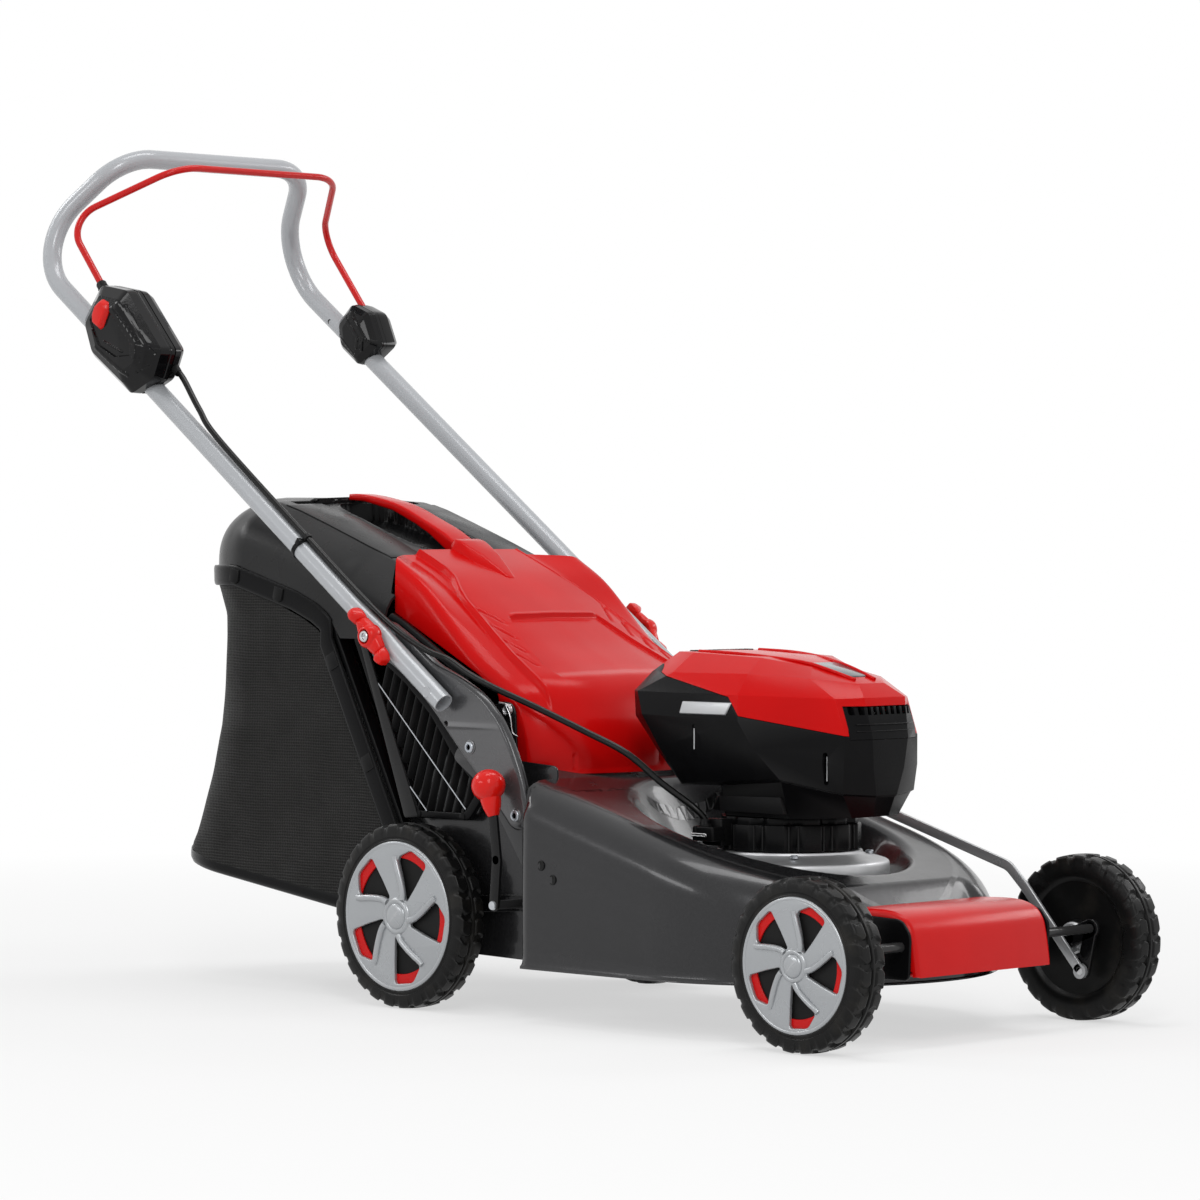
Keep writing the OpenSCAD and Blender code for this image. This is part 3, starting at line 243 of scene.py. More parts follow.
def inset(outline, d):
    # an outline moved inward by d, whichever way it runs
    n = len(outline)
    area = sum(a[0] * b[1] - b[0] * a[1] for a, b in zip(outline, outline[1:] + outline[:1]))
    turn = 1 if area < 0 else -1
    out = []
    for i in range(n):
        a, b, c = (Vector(outline[(i + k) % n]) for k in (-1, 0, 1))
        u, v = (b - a).normalized(), (c - b).normalized()
        m = (Vector((u.y, -u.x)) + Vector((v.y, -v.x))).normalized()
        share = max(m.dot(Vector((u.y, -u.x))), 0.5)
        out.append(tuple(b + m * (turn * d / share)))
    return out


def barOf(p, q, r, steps=12):
    # outline of a flat bar with round ends
    a = Vector(q) - Vector(p)
    t = math.atan2(a.y, a.x)
    out = [(q[0] + r * math.cos(t + b), q[1] + r * math.sin(t + b)) for b in
           (math.pi * (k / steps - 0.5) for k in range(steps + 1))]
    out += [(p[0] + r * math.cos(t + b), p[1] + r * math.sin(t + b)) for b in
            (math.pi * (k / steps + 0.5) for k in range(steps + 1))]
    return out


def joined(name, parts):
    # one object from several, keeping their materials
    bm = bmesh.new()
    finishes = []
    for part in parts:
        start = len(bm.faces)
        bm.from_mesh(part.data)
        bm.faces.ensure_lookup_table()
        for face in bm.faces[start:]:
            own = part.data.materials[face.material_index]
            if own not in finishes:
                finishes.append(own)
            face.material_index = finishes.index(own)
    mesh = bpy.data.meshes.new(name)
    bm.to_mesh(mesh)
    bm.free()
    for own in finishes:
        mesh.materials.append(own)
    for part in parts:
        bpy.data.objects.remove(part)
    obj = added(name, mesh)
    return obj


def sheetPiece(name, at, across, along, look, ring=False, sharp=35, keep=None):
    # a grid of points at(i, j); keep drops faces
    verts = [at(i, j) for i in range(across) for j in range(along)]
    faces = []
    for i in range(across if ring else across - 1):
        for j in range(along - 1):
            a, b = i * along + j, ((i + 1) % across) * along + j
            corners = (a, b, b + 1, a + 1)
            if keep is None or keep([verts[k] for k in corners]):
                faces.append(corners)
    return meshPiece(name, verts, faces, look, sharp)


def fromBelow(obj):
    # turns an open sheet so that its normals point up and out
    ups = sum(f.normal.z * f.area for f in obj.data.polygons)
    if ups < 0:
        obj.data.flip_normals()
    return obj


def tubePiece(name, line, radius, look, sides=24, shape=None, bore=0, sharp=35):
    # a round bar along line; shape(s) gives (width, height) shares of the radius at length s
    line = [Vector(p) for p in line]
    n = len(line)
    ways = [(line[min(i + 1, n - 1)] - line[max(i - 1, 0)]).normalized() for i in range(n)]
    side = ways[0].cross(Vector((0, 1, 0)))
    if side.length < 0.1:
        side = ways[0].cross(Vector((0, 0, 1)))
    side.normalize()
    run = 0
    rings = []
    for i in range(n):
        if i:
            run += (line[i] - line[i - 1]).length
            side = ways[i - 1].rotation_difference(ways[i]) @ side
        side = (side - ways[i] * side.dot(ways[i])).normalized()
        lift = ways[i].cross(side)
        w, h = shape(run) if shape else (1, 1)
        rings.append([(side * math.cos(a) * h + lift * math.sin(a) * w)
                      for a in (2 * math.pi * k / sides for k in range(sides))])
    verts, faces = [], []

    def skin(r, flip):
        base = len(verts)
        for i in range(n):
            verts.extend(line[i] + q * r for q in rings[i])
        for i in range(n - 1):
            for k in range(sides):
                a, b = base + i * sides + k, base + i * sides + (k + 1) % sides
                quad = (a, b, b + sides, a + sides)
                faces.append(quad[::-1] if flip else quad)
        return base

    outer = skin(radius, False)
    if bore:
        inner = skin(bore, True)
        for end in (0, (n - 1) * sides):
            for k in range(sides):
                m = (k + 1) % sides
                faces.append((outer + end + k, outer + end + m, inner + end + m, inner + end + k))
    else:
        faces.append(tuple(outer + k for k in range(sides)))
        faces.append(tuple(outer + (n - 1) * sides + k for k in range(sides)))
    return meshPiece(name, verts, faces, look, sharp)


def turnFaces(sides, n):
    # faces between closed profiles of n points set all round an axis
    faces = []
    for k in range(sides):
        for j in range(n):
            a, b = k * n + j, ((k + 1) % sides) * n + j
            c, d = k * n + (j + 1) % n, ((k + 1) % sides) * n + (j + 1) % n
            faces.append((a, b, d, c))
    return faces


def turnedPiece(name, profile, at, axis, look, sides=64, sharp=35):
    # a closed profile of (radius, height) turned round axis at a point
    z = Vector(axis).normalized()
    x = z.orthogonal().normalized()
    y = z.cross(x)
    at = Vector(at)
    verts = []
    for k in range(sides):
        a = 2 * math.pi * k / sides
        for r, h in profile:
            verts.append(at + (x * math.cos(a) + y * math.sin(a)) * r + z * h)
    return meshPiece(name, verts, turnFaces(sides, len(profile)), look, sharp)


def flat(u, v, w):
    # the basis of a plate that lies level
    return u, v, w


def platePiece(name, outlines, low, high, look, bevel=0.6, steps=2, basis=None, sharp=35):
    # a flat plate between two heights of w; basis takes (u, v, w) to the mower's axes,
    # and stands outlines of (x, z) up along y when it is left out
    basis = basis or (lambda u, v, w: (u, w, v))
    low, high = sorted((low, high))
    bevel = min(bevel, (high - low) / 2 * 0.98)
    curve = bpy.data.curves.new(name, "CURVE")
    curve.dimensions = "2D"
    curve.fill_mode = "BOTH"
    curve.extrude = (high - low) / 2 - bevel
    curve.bevel_depth = bevel
    curve.bevel_resolution = steps - 1
    curve.offset = -bevel
    for outline in outlines:
        line = curve.splines.new("POLY")
        line.points.add(len(outline) - 1)
        for point, (u, v) in zip(line.points, outline):
            point.co = (u, v, 0, 1)
        line.use_cyclic_u = True
    holder = added(name, curve)
    graph = bpy.context.evaluated_depsgraph_get()
    mesh = bpy.data.meshes.new_from_object(holder.evaluated_get(graph))
    bpy.data.objects.remove(holder)
    middle = (low + high) / 2
    for vert in mesh.vertices:
        u, v, w = vert.co
        vert.co = place(basis(u, v, w + middle))
    mesh.materials.clear()
    mesh.materials.append(finish[look])
    obj = added(name, mesh)
    return settle(obj, sharp)


def ringOf(u, v, r, steps=24):
    return [(u + r * math.cos(2 * math.pi * k / steps), v + r * math.sin(2 * math.pi * k / steps))
            for k in range(steps)]


def roundCorners(outline, r, steps=4):
    # an outline with every corner rounded, less where its sides are short
    out = []
    n = len(outline)
    for i in range(n):
        a, b, c = (Vector(outline[(i + k) % n]) for k in (-1, 0, 1))
        u, v = (a - b), (c - b)
        cut = min(r, u.length * 0.45, v.length * 0.45)
        p, q = b + u.normalized() * cut, b + v.normalized() * cut
        for k in range(steps + 1):
            t = k / steps
            out.append(tuple(p * (1 - t) ** 2 + b * 2 * t * (1 - t) + q * t * t))
    return out


def fit(obj, body, slotName, *nodes):
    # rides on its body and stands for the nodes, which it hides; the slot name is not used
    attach(obj, body)
    if nodes:
        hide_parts(*nodes)
    return obj

# finishes

def madeFinish(name, look):
    # one shader: mottled colour, varied gloss, grain, and edges painted lighter, partly rubbed wear and
    # partly painted highlight
    material = bpy.data.materials.new(name)
    material.use_nodes = True
    nodes, links = material.node_tree.nodes, material.node_tree.links
    shader = nodes["Principled BSDF"]
    coords = nodes.new("ShaderNodeTexCoord")

    def noiseOf(scale, detail=4, stretch=None):
        source = coords.outputs["Object"]
        if stretch:
            mapping = nodes.new("ShaderNodeMapping")
            mapping.inputs["Scale"].default_value = stretch
            links.new(source, mapping.inputs["Vector"])
            source = mapping.outputs["Vector"]
        field = nodes.new("ShaderNodeTexNoise")
        field.inputs["Scale"].default_value = scale
        field.inputs["Detail"].default_value = detail
        links.new(source, field.inputs["Vector"])
        return field.outputs["Fac"]

    def spread(source, low, high, a=0.3, b=0.7):
        remap = nodes.new("ShaderNodeMapRange")
        for socket, value in (("From Min", a), ("From Max", b), ("To Min", low), ("To Max", high)):
            remap.inputs[socket].default_value = value
        links.new(source, remap.inputs["Value"])
        return remap.outputs["Result"]

    def blended(factor, first, second):
        node = nodes.new("ShaderNodeMix")
        node.data_type = "RGBA"
        links.new(factor, node.inputs["Factor"])
        for socket, value in ((node.inputs["A"], first), (node.inputs["B"], second)):
            if isinstance(value, tuple):
                socket.default_value = (*value, 1)
            else:
                links.new(value, socket)
        return node.outputs["Result"]

    colour = look["colour"]
    tint = look.get("tint", tuple(c * 0.82 for c in colour))
    mottle = noiseOf(look.get("mottle", 9), 5, look.get("stretch"))
    shade = blended(spread(mottle, 0, 1), colour, tint)
    if "flake" in look:  # metal flakes in paint
        cells = nodes.new("ShaderNodeTexVoronoi")
        cells.inputs["Scale"].default_value = look["flake"]
        links.new(coords.outputs["Object"], cells.inputs["Vector"])
        bright = spread(cells.outputs["Color"], 0, look.get("flakeAmount", 0.5), 0.45, 0.95)
        shade = blended(bright, shade, tuple(min(c * 2.6 + 0.03, 1) for c in colour))
    if "wearAndEdgeHighlight" in look:  # convex edges painted lighter, partly rubbed wear and partly painted highlight
        shape = nodes.new("ShaderNodeNewGeometry")
        edge = spread(shape.outputs["Pointiness"], 0, look.get("wearAndEdgeHighlightAmount", 0.35), 0.53, 0.62)
        shade = blended(edge, shade, look["wearAndEdgeHighlight"])
    if "dust" in look:  # pale dust in patches
        patch = spread(noiseOf(30, 6), 0, look.get("dustAmount", 0.16), 0.52, 0.8)
        shade = blended(patch, shade, look["dust"])
    links.new(shade, shader.inputs["Base Color"])
    gloss = look["gloss"]
    links.new(spread(noiseOf(22, 3), gloss * 0.88, gloss * 1.15), shader.inputs["Roughness"])
    for socket, key, usual in (("Metallic", "metal", 0), ("Coat Weight", "coat", 0),
                               ("Coat Roughness", "coatGloss", 0.06), ("Specular IOR Level", "shine", 0.4)):
        shader.inputs[socket].default_value = look.get(key, usual)
    grain, deep = look.get("grain", (900, 0.03))
    rough = nodes.new("ShaderNodeBump")
    rough.inputs["Strength"].default_value = deep
    rough.inputs["Distance"].default_value = look.get("relief", 0.0004)
    height = noiseOf(grain, 3, look.get("grainStretch"))
    links.new(height, rough.inputs["Height"])
    last = rough
    if "orange" in look:  # long shallow ripple of sprayed or moulded skin
        ripple = nodes.new("ShaderNodeBump")
        ripple.inputs["Strength"].default_value = look["orange"]
        ripple.inputs["Distance"].default_value = 0.002
        links.new(noiseOf(look.get("orangeScale", 120), 2), ripple.inputs["Height"])
        links.new(rough.outputs["Normal"], ripple.inputs["Normal"])
        last = ripple
    links.new(last.outputs["Normal"], shader.inputs["Normal"])
    return material


# the edge colours in these looks paint convex edges lighter: partly rubbed wear, partly painted highlight
looks = {
    "deckPaint": {"colour": (0.020, 0.020, 0.0215), "gloss": 0.24, "metal": 0.5, "coat": 0.25,
                  "coatGloss": 0.05,
                  "flake": 2600, "flakeAmount": 0.3, "orange": 0.05, "wearAndEdgeHighlight": (0.2, 0.2, 0.2),
                  "wearAndEdgeHighlightAmount": 0.2,
                  "grain": (1400, 0.05)},
    "redGloss": {"colour": (0.66, 0.004, 0.004), "tint": (0.58, 0.003, 0.003), "gloss": 0.2, "shine": 0.11,
                 "orange": 0.03, "grain": (1500, 0.05)},
    "redSatin": {"colour": (0.66, 0.004, 0.004), "tint": (0.58, 0.003, 0.003), "gloss": 0.24, "shine": 0.2,
                 "grain": (2200, 0.10), "orange": 0.02},
    "redBright": {"colour": (0.74, 0.010, 0.006), "tint": (0.68, 0.008, 0.005), "gloss": 0.2,
                  "shine": 0.25},
    "redRod": {"colour": (0.62, 0.006, 0.005), "gloss": 0.18, "shine": 0.3, "orange": 0.08,
               "orangeScale": 300},
    "blackGloss": {"colour": (0.004, 0.004, 0.0045), "gloss": 0.09, "shine": 0.2, "orange": 0.02,
                   "dust": (0.06, 0.06, 0.06), "dustAmount": 0.03},
    "blackSatin": {"colour": (0.0045, 0.0045, 0.005), "gloss": 0.24, "shine": 0.08, "grain": (2600, 0.14),
                   "wearAndEdgeHighlight": (0.05, 0.05, 0.05), "dust": (0.06, 0.06, 0.06), "dustAmount": 0.03},
    "blackMatte": {"colour": (0.006, 0.006, 0.006), "gloss": 0.5, "shine": 0.1, "grain": (2000, 0.25),
                   "wearAndEdgeHighlight": (0.05, 0.05, 0.05), "dust": (0.06, 0.055, 0.05), "dustAmount": 0.05},
    "coverBlack": {"colour": (0.003, 0.003, 0.0033), "gloss": 0.22, "shine": 0.07, "orange": 0.03,
                   "grain": (2400, 0.12), "wearAndEdgeHighlight": (0.06, 0.06, 0.06)},
    "coverGrey": {"colour": (0.022, 0.022, 0.0225), "tint": (0.018, 0.018, 0.0185), "gloss": 0.27,
                  "shine": 0.16,
                  "orange": 0.03, "grain": (2400, 0.10)},
    "tubePaint": {"colour": (0.44, 0.455, 0.475), "tint": (0.42, 0.435, 0.455), "gloss": 0.24, "metal": 0.1,
                  "shine": 0.4, "grain": (500, 0.004), "orange": 0.01},
    "capSilver": {"colour": (0.38, 0.395, 0.41), "tint": (0.35, 0.365, 0.38), "gloss": 0.28, "metal": 0.45,
                  "coat": 0.2, "flake": 3800, "flakeAmount": 0.08, "wearAndEdgeHighlight": (0.55, 0.56, 0.57),
                  "wearAndEdgeHighlightAmount": 0.4,
                  "grain": (1800, 0.06)},
    "satinSilver": {"colour": (0.50, 0.51, 0.52), "gloss": 0.30, "metal": 0.6, "grain": (900, 0.08),
                    "grainStretch": (1, 12, 12)},
    "castZinc": {"colour": (0.60, 0.605, 0.615), "tint": (0.48, 0.485, 0.495), "gloss": 0.42, "metal": 0.75,
                 "grain": (420, 0.28), "relief": 0.0006, "mottle": 26},
    "steelBright": {"colour": (0.62, 0.62, 0.63), "tint": (0.5, 0.5, 0.51), "gloss": 0.24, "metal": 1.0,
                    "grain": (500, 0.12), "mottle": 60},
    "zincSteel": {"colour": (0.47, 0.50, 0.54), "tint": (0.30, 0.33, 0.37), "gloss": 0.30, "metal": 0.9,
                  "grain": (600, 0.15), "mottle": 14, "stretch": (0.6, 3, 3), "wearAndEdgeHighlight": (0.7, 0.7, 0.7)},
    "ironDark": {"colour": (0.09, 0.09, 0.095), "gloss": 0.5, "metal": 0.7, "grain": (350, 0.3),
                 "relief": 0.0006},
    "windowGrey": {"colour": (0.10, 0.115, 0.125), "gloss": 0.2, "coat": 0.5},
    "copper": {"colour": (0.45, 0.16, 0.06), "tint": (0.32, 0.10, 0.04), "gloss": 0.3, "metal": 0.9,
               "mottle": 90,
               "grain": (700, 0.3), "grainStretch": (1, 1, 6)},
    "bladePaint": {"colour": (0.03, 0.03, 0.032), "gloss": 0.4, "metal": 0.3, "wearAndEdgeHighlight": (0.45, 0.45, 0.46),
                   "wearAndEdgeHighlightAmount": 0.8, "grain": (700, 0.12)},
    "bracketPaint": {"colour": (0.038, 0.038, 0.040), "gloss": 0.26, "metal": 0.55, "coat": 0.3,
                     "coatGloss": 0.08,
                     "flake": 2600, "flakeAmount": 0.45, "wearAndEdgeHighlight": (0.34, 0.34, 0.35), "wearAndEdgeHighlightAmount": 0.55,
                     "orange": 0.04},
    "blackEnamel": {"colour": (0.005, 0.005, 0.0055), "gloss": 0.12, "shine": 0.2, "orange": 0.10,
                    "orangeScale": 260, "wearAndEdgeHighlight": (0.12, 0.12, 0.12)},
    "packPlastic": {"colour": (0.045, 0.045, 0.05), "gloss": 0.45, "grain": (2200, 0.2)},
    "boardGreen": {"colour": (0.015, 0.10, 0.035), "gloss": 0.3, "coat": 0.6, "mottle": 120,
                   "grain": (600, 0.2)},
    "keyOrange": {"colour": (0.75, 0.14, 0.01), "gloss": 0.3, "grain": (1500, 0.08)},
    "rubberSoft": {"colour": (0.006, 0.006, 0.006), "gloss": 0.45, "shine": 0.15, "grain": (1800, 0.2)},
    "cableSheath": {"colour": (0.005, 0.005, 0.005), "gloss": 0.2, "shine": 0.22, "grain": (900, 0.15),
                    "grainStretch": (1, 1, 1), "dust": (0.1, 0.1, 0.1), "dustAmount": 0.05},
    "tyreRubber": {"colour": (0.007, 0.007, 0.007), "tint": (0.005, 0.005, 0.005), "gloss": 0.30,
                   "shine": 0.16,
                   "grain": (1300, 0.3), "wearAndEdgeHighlight": (0.07, 0.07, 0.07), "wearAndEdgeHighlightAmount": 0.6,
                   "dust": (0.16, 0.14, 0.11), "dustAmount": 0.10},
}
finish = {name: madeFinish(name, look) for name, look in looks.items()}


def meshFinish(name, weave):
    # coarse knitted mesh: rows of small holes between raised threads; the holes are painted near black as
    # painted shade of the bag's inside, and the thread crowns are painted lighter as painted highlight
    material = madeFinish(name, weave["look"])
    nodes, links = material.node_tree.nodes, material.node_tree.links
    shader = nodes["Principled BSDF"]

    def sums(kind, a, b=None):
        node = nodes.new("ShaderNodeMath")
        node.operation = kind
        for socket, value in zip(node.inputs, (a, b)):
            if value is None:
                continue
            if isinstance(value, (int, float)):
                socket.default_value = value
            else:
                links.new(value, socket)
        return node.outputs[0]

    coords = nodes.new("ShaderNodeTexCoord")
    wobble = nodes.new("ShaderNodeTexNoise")
    wobble.inputs["Scale"].default_value = 14
    links.new(coords.outputs["Object"], wobble.inputs["Vector"])
    parts = nodes.new("ShaderNodeSeparateXYZ")
    links.new(coords.outputs["Object"], parts.inputs["Vector"])
    drift = sums("MULTIPLY", wobble.outputs["Fac"], weave["drift"])
    lineUp = sums("ADD", sums("ADD", parts.outputs["X"], parts.outputs["Y"]), drift)
    height = sums("ADD", parts.outputs["Z"], drift)
    rows = sums("SINE", sums("MULTIPLY", height, 2 * math.pi / weave["row"]))
    shift = sums("MULTIPLY", sums("SINE", sums("MULTIPLY", height, math.pi / weave["row"])), 0.9)
    columns = sums("SINE", sums("ADD", sums("MULTIPLY", lineUp, 2 * math.pi / weave["column"]), shift))
    holes = sums("MULTIPLY", sums("MAXIMUM", rows, 0), sums("MAXIMUM", columns, 0))
    threads = sums("ADD", sums("MULTIPLY", rows, -0.6), sums("MULTIPLY", columns, -0.25))
    bump = nodes.new("ShaderNodeBump")
    bump.inputs["Strength"].default_value = weave["strength"]
    bump.inputs["Distance"].default_value = weave["depth"]
    links.new(sums("SUBTRACT", threads, holes), bump.inputs["Height"])
    links.new(bump.outputs["Normal"], shader.inputs["Normal"])
    base = shader.inputs["Base Color"].links[0].from_socket
    # the holes painted near black: painted shade of the bag's inside
    holeShadeMix = nodes.new("ShaderNodeMix")
    holeShadeMix.data_type = "RGBA"
    holeShadeMix.inputs["B"].default_value = (*weave["hole"], 1)
    links.new(sums("MULTIPLY", holes, 0.9), holeShadeMix.inputs["Factor"])
    links.new(base, holeShadeMix.inputs["A"])
    # the raised thread crowns painted lighter: painted highlight on the threads
    threadHighlightMix = nodes.new("ShaderNodeMix")
    threadHighlightMix.data_type = "RGBA"
    threadHighlightMix.inputs["B"].default_value = (*weave["threadHighlight"], 1)
    links.new(sums("MULTIPLY", sums("MAXIMUM", sums("MULTIPLY", rows, -1), 0), 0.55),
              threadHighlightMix.inputs["Factor"])
    links.new(holeShadeMix.outputs["Result"], threadHighlightMix.inputs["A"])
    links.new(threadHighlightMix.outputs["Result"], shader.inputs["Base Color"])
    return material


# the hole colour is painted shade, the thread colour a painted highlight on the thread crowns
bagWeave = {"row": 0.0032, "column": 0.0028, "drift": 0.004, "strength": 0.9, "depth": 0.0007,
            "hole": (0.002, 0.002, 0.002), "threadHighlight": (0.034, 0.033, 0.032),
            "look": {"colour": (0.009, 0.0088, 0.0085), "tint": (0.013, 0.0125, 0.012), "gloss": 0.6,
                     "shine": 0.14,
                     "mottle": 40}}
finish["bagMesh"] = meshFinish("bagMesh", bagWeave)
print("finishes made:", len(finish))


def hullPiece(name, points, look, width=0.8, segments=2, sharp=30, flat=2):
    # a convex faceted body through points, with softened edges
    bm = bmesh.new()
    for p in points:
        bm.verts.new(place(p))
    shape = bmesh.ops.convex_hull(bm, input=bm.verts)
    spare = [g for g in shape["geom_interior"] + shape["geom_unused"] if isinstance(g, bmesh.types.BMVert)]
    bmesh.ops.delete(bm, geom=list(set(spare)), context="VERTS")
    bmesh.ops.dissolve_limit(bm, angle_limit=math.radians(flat), verts=bm.verts, edges=bm.edges)
    mesh = bpy.data.meshes.new(name)
    bm.to_mesh(mesh)
    bm.free()
    mesh.materials.append(finish[look])
    obj = added(name, mesh)
    return softened(obj, width, segments, 12, sharp) if width else settle(obj, sharp)

# deck

deck = {"motorX": 380, "half": 215, "rear": 190, "low": 57, "top": 197,
        "slope": math.tan(math.radians(16.4)),
        "shoulder": 42, "seat": 150, "scoopR": 101, "bowl": 1.75, "corner": 14}


def deckPlane(x):
    return deck["top"] + (deck["motorX"] - x) * deck["slope"]


def deckReach(angle):
    # distance from the blade axis to the deck's outer edge, and the slant of that edge
    c, s = math.cos(angle), math.sin(angle)
    if c >= 0:
        return deck["half"], 1
    back, side = (deck["motorX"] - deck["rear"]) / -c, deck["half"] / max(abs(s), 1e-6)
    r = deck["corner"]
    ox, oy = -(deck["motorX"] - deck["rear"] - r), (deck["half"] - r) * (1 if s > 0 else -1)
    near = ox * c + oy * s
    rest = near * near - (ox * ox + oy * oy - r * r)
    if rest > 0:  # rounded rear corner
        far = near + math.sqrt(rest)
        x, y = far * c - ox, far * s - oy
        if x < 0 and y * oy > 0:
            return far, max((x * c + y * s) / r, 0.3)
    return (side, abs(s)) if side < back else (back, max(-c, 0.3))


def deckHeight(x, y):
    rho = math.hypot(x - deck["motorX"], y)
    inward = deck["half"] - (rho if x > deck["motorX"] else abs(y))
    cx, cy = deck["rear"] + deck["corner"] - x, abs(y) - (deck["half"] - deck["corner"])
    if cx > 0 and cy > 0:
        inward = deck["corner"] - math.hypot(cx, cy)
    r = deck["shoulder"]
    z = deckPlane(x)
    if x > 530:  # level step under the front cover
        step = 124 + max(0, abs(y) - 100) * 0.9 + max(0, 552 - x) * 1.4
        z = softMin(z, step, 5)
    if inward < r:
        z -= r - math.sqrt(max(r * r - (r - max(inward, 0)) ** 2, 0))
    k = rho - deck["scoopR"]
    scoop = deck["seat"] + (0 if k < 0 else k * k / 46 if k < 22 else 10.5 + (k - 22) * deck["bowl"])
    return softMin(z, scoop, 9)


def deckPoint(i, j):
    angle = 2 * math.pi * i / deckAround
    reach, slant = deckReach(angle)
    c, s = math.cos(angle), math.sin(angle)
    if j < len(deckRun):
        inward = deckRun[j]
        rho = mix(30, reach, inward) if j < deckInner else reach - inward / slant
        x, y = deck["motorX"] + rho * c, rho * s
        z = deckHeight(x, y)
        if j == len(deckRun) - 1:
            z = deckHeight(deck["motorX"] + (reach - 0.01) * c, (reach - 0.01) * s)
        return x, y, z
    x, y = deck["motorX"] + reach * c, reach * s
    top = deckHeight(deck["motorX"] + (reach - 0.01) * c, (reach - 0.01) * s)
    drop, out = deckWall[j - len(deckRun)]
    edge = out * (1 if x > deck["rear"] + 6 else 0)
    return x + edge * c, y + edge * s, mix(top, deck["low"], drop)


deckAround = 288
deckInner = 46
deckRun = [k / deckInner * 0.80 for k in range(deckInner)]
deckRun += [deck["shoulder"] * (1 - math.sin(math.pi / 2 * k / 14)) for k in range(15)]
deckWall = [(0.12, 0.4), (0.3, 0.9), (0.5, 1.2), (0.7, 1.2), (0.86, 1), (0.94, 1.2), (0.965, 2.5),
            (0.985, 4.6), (1.0, 4.6)]


def deckKeep(corners):
    x = sum(p[0] for p in corners) / 4
    y = sum(p[1] for p in corners) / 4
    z = sum(p[2] for p in corners) / 4
    return not (x < deck["rear"] + 1.5 and abs(y) < 152 and z < deckPlane(190) - 4)


deckPan = sheetPiece("deckSkin", deckPoint, deckAround, len(deckRun) + len(deckWall), "deckPaint",
                     ring=True, keep=deckKeep, sharp=50)
if sum(f.normal.z * f.area for f in deckPan.data.polygons if f.center.z > 0.12) < 0:
    deckPan.data.flip_normals()
thickened(deckPan, 2.5, 50)

tunnelOutline = [(190, 57), (190, 266), (130, 270), (127, 322), (121, 331), (105, 333), (-45.6, 222),
                 (-8.5, 150), (10, 96), (62, 60)]
deckParts = [deckPan]
for s in (-1, 1):
    deckParts.append(platePiece("tunnelSide", [roundCorners(tunnelOutline, 8)], s * 152.5, s * 155,
                                "deckPaint", 0.5))
    wing = [(186, 150), (178, 225), (160, 262), (126, 300), (84, 300), (60, 272), (112, 238), (166, 160)]
    deckParts.append(platePiece("wing", [roundCorners(wing, 9)], s * 180.7, s * 183.2, "deckPaint", 0.5))
    foot = [(176, 152), (186, 152), (186, 212), (176, 212)]
    head = [(84, 268), (124, 268), (124, 276), (84, 276)]
    for name, outline in (("wingFoot", foot), ("wingHead", head)):
        deckParts.append(platePiece(name, [roundCorners(outline, 3)], s * 154, s * 183, "deckPaint", 0.8))
    cheek = [(570, 66), (638, 66), (640, 112), (628, 127), (548, 130), (540, 118)]
    deckParts.append(platePiece("cheek", [roundCorners(cheek, 7)], s * 107.6, s * 111.4, "blackSatin", 1.2,
                                3))
deckParts.append(platePiece("tunnelRoof", [[(194, deckPlane(194) - 2.6), (194, deckPlane(194) - 0.2),
                                            (122, deckPlane(122) - 0.2), (122, deckPlane(122) - 2.6)]],
                            -154, 154, "deckPaint", 0.4))
deckParts.append(platePiece("tunnelFloor", [[(190, 57), (190, 59.5), (-8, 151.5), (-9, 149.5)]], -154, 154,
                            "deckPaint", 0.4))
for x, z in ((226, 166), (243, 152)):  # drain holes beside the height lever, drawn as black matte discs: painted shade of the openings
    into = max(deck["rear"] + deck["corner"] - x, 0)
    y = -(deck["half"] - deck["corner"] + math.sqrt(max(deck["corner"] ** 2 - into ** 2, 0)))
    deckParts.append(turnedPiece("drainHoleShade", [(0.05, 0.9), (3.6, 0.9), (4.4, 1.5), (5.2, 1.5), (5.6, 0.6),
                                           (0.05, 0.2)],
                                 (x, y, z), (-0.2, -1, 0), "blackMatte", 32))
fit(joined("deckPan", deckParts), "chassis", "deck_paint", "deck")
print("deck made")

# front cover

cover = {"half": 107, "wall": 3, "round": 6}
coverLine = spline([(541, 118), (542, 126), (548, 132.6), (570, 134.6), (596, 135), (614, 133),
                    (628, 127.5), (637, 117),
                    (641, 104), (643.5, 90), (645.5, 76), (646, 69)], 5)
coverOut = [tuple(p) for p in coverLine] + [(600, 69), (600, 100), (570, 118)]
frontCover = platePiece("frontCover", [coverOut], -cover["half"], cover["half"], "redSatin", cover["round"],
                        6)
coverIn = [(p[0] + (-2.8 if p[0] > 575 else 1), min(p[1], 131.8) - (2.2 if p[1] > 120 else 0))
           for p in coverLine]
coverIn = [(500, 40), (500, 118)] + [q for q in coverIn if q[0] > 545] + [(643, 40)]
inside = platePiece("inside", [coverIn], -cover["half"] + 3, cover["half"] - 3, "redSatin", 2, 2)
cutBy(frontCover, inside, 32)
fit(frontCover, "chassis", "red_plastic", "front_cover")
print("front cover made")

# motor

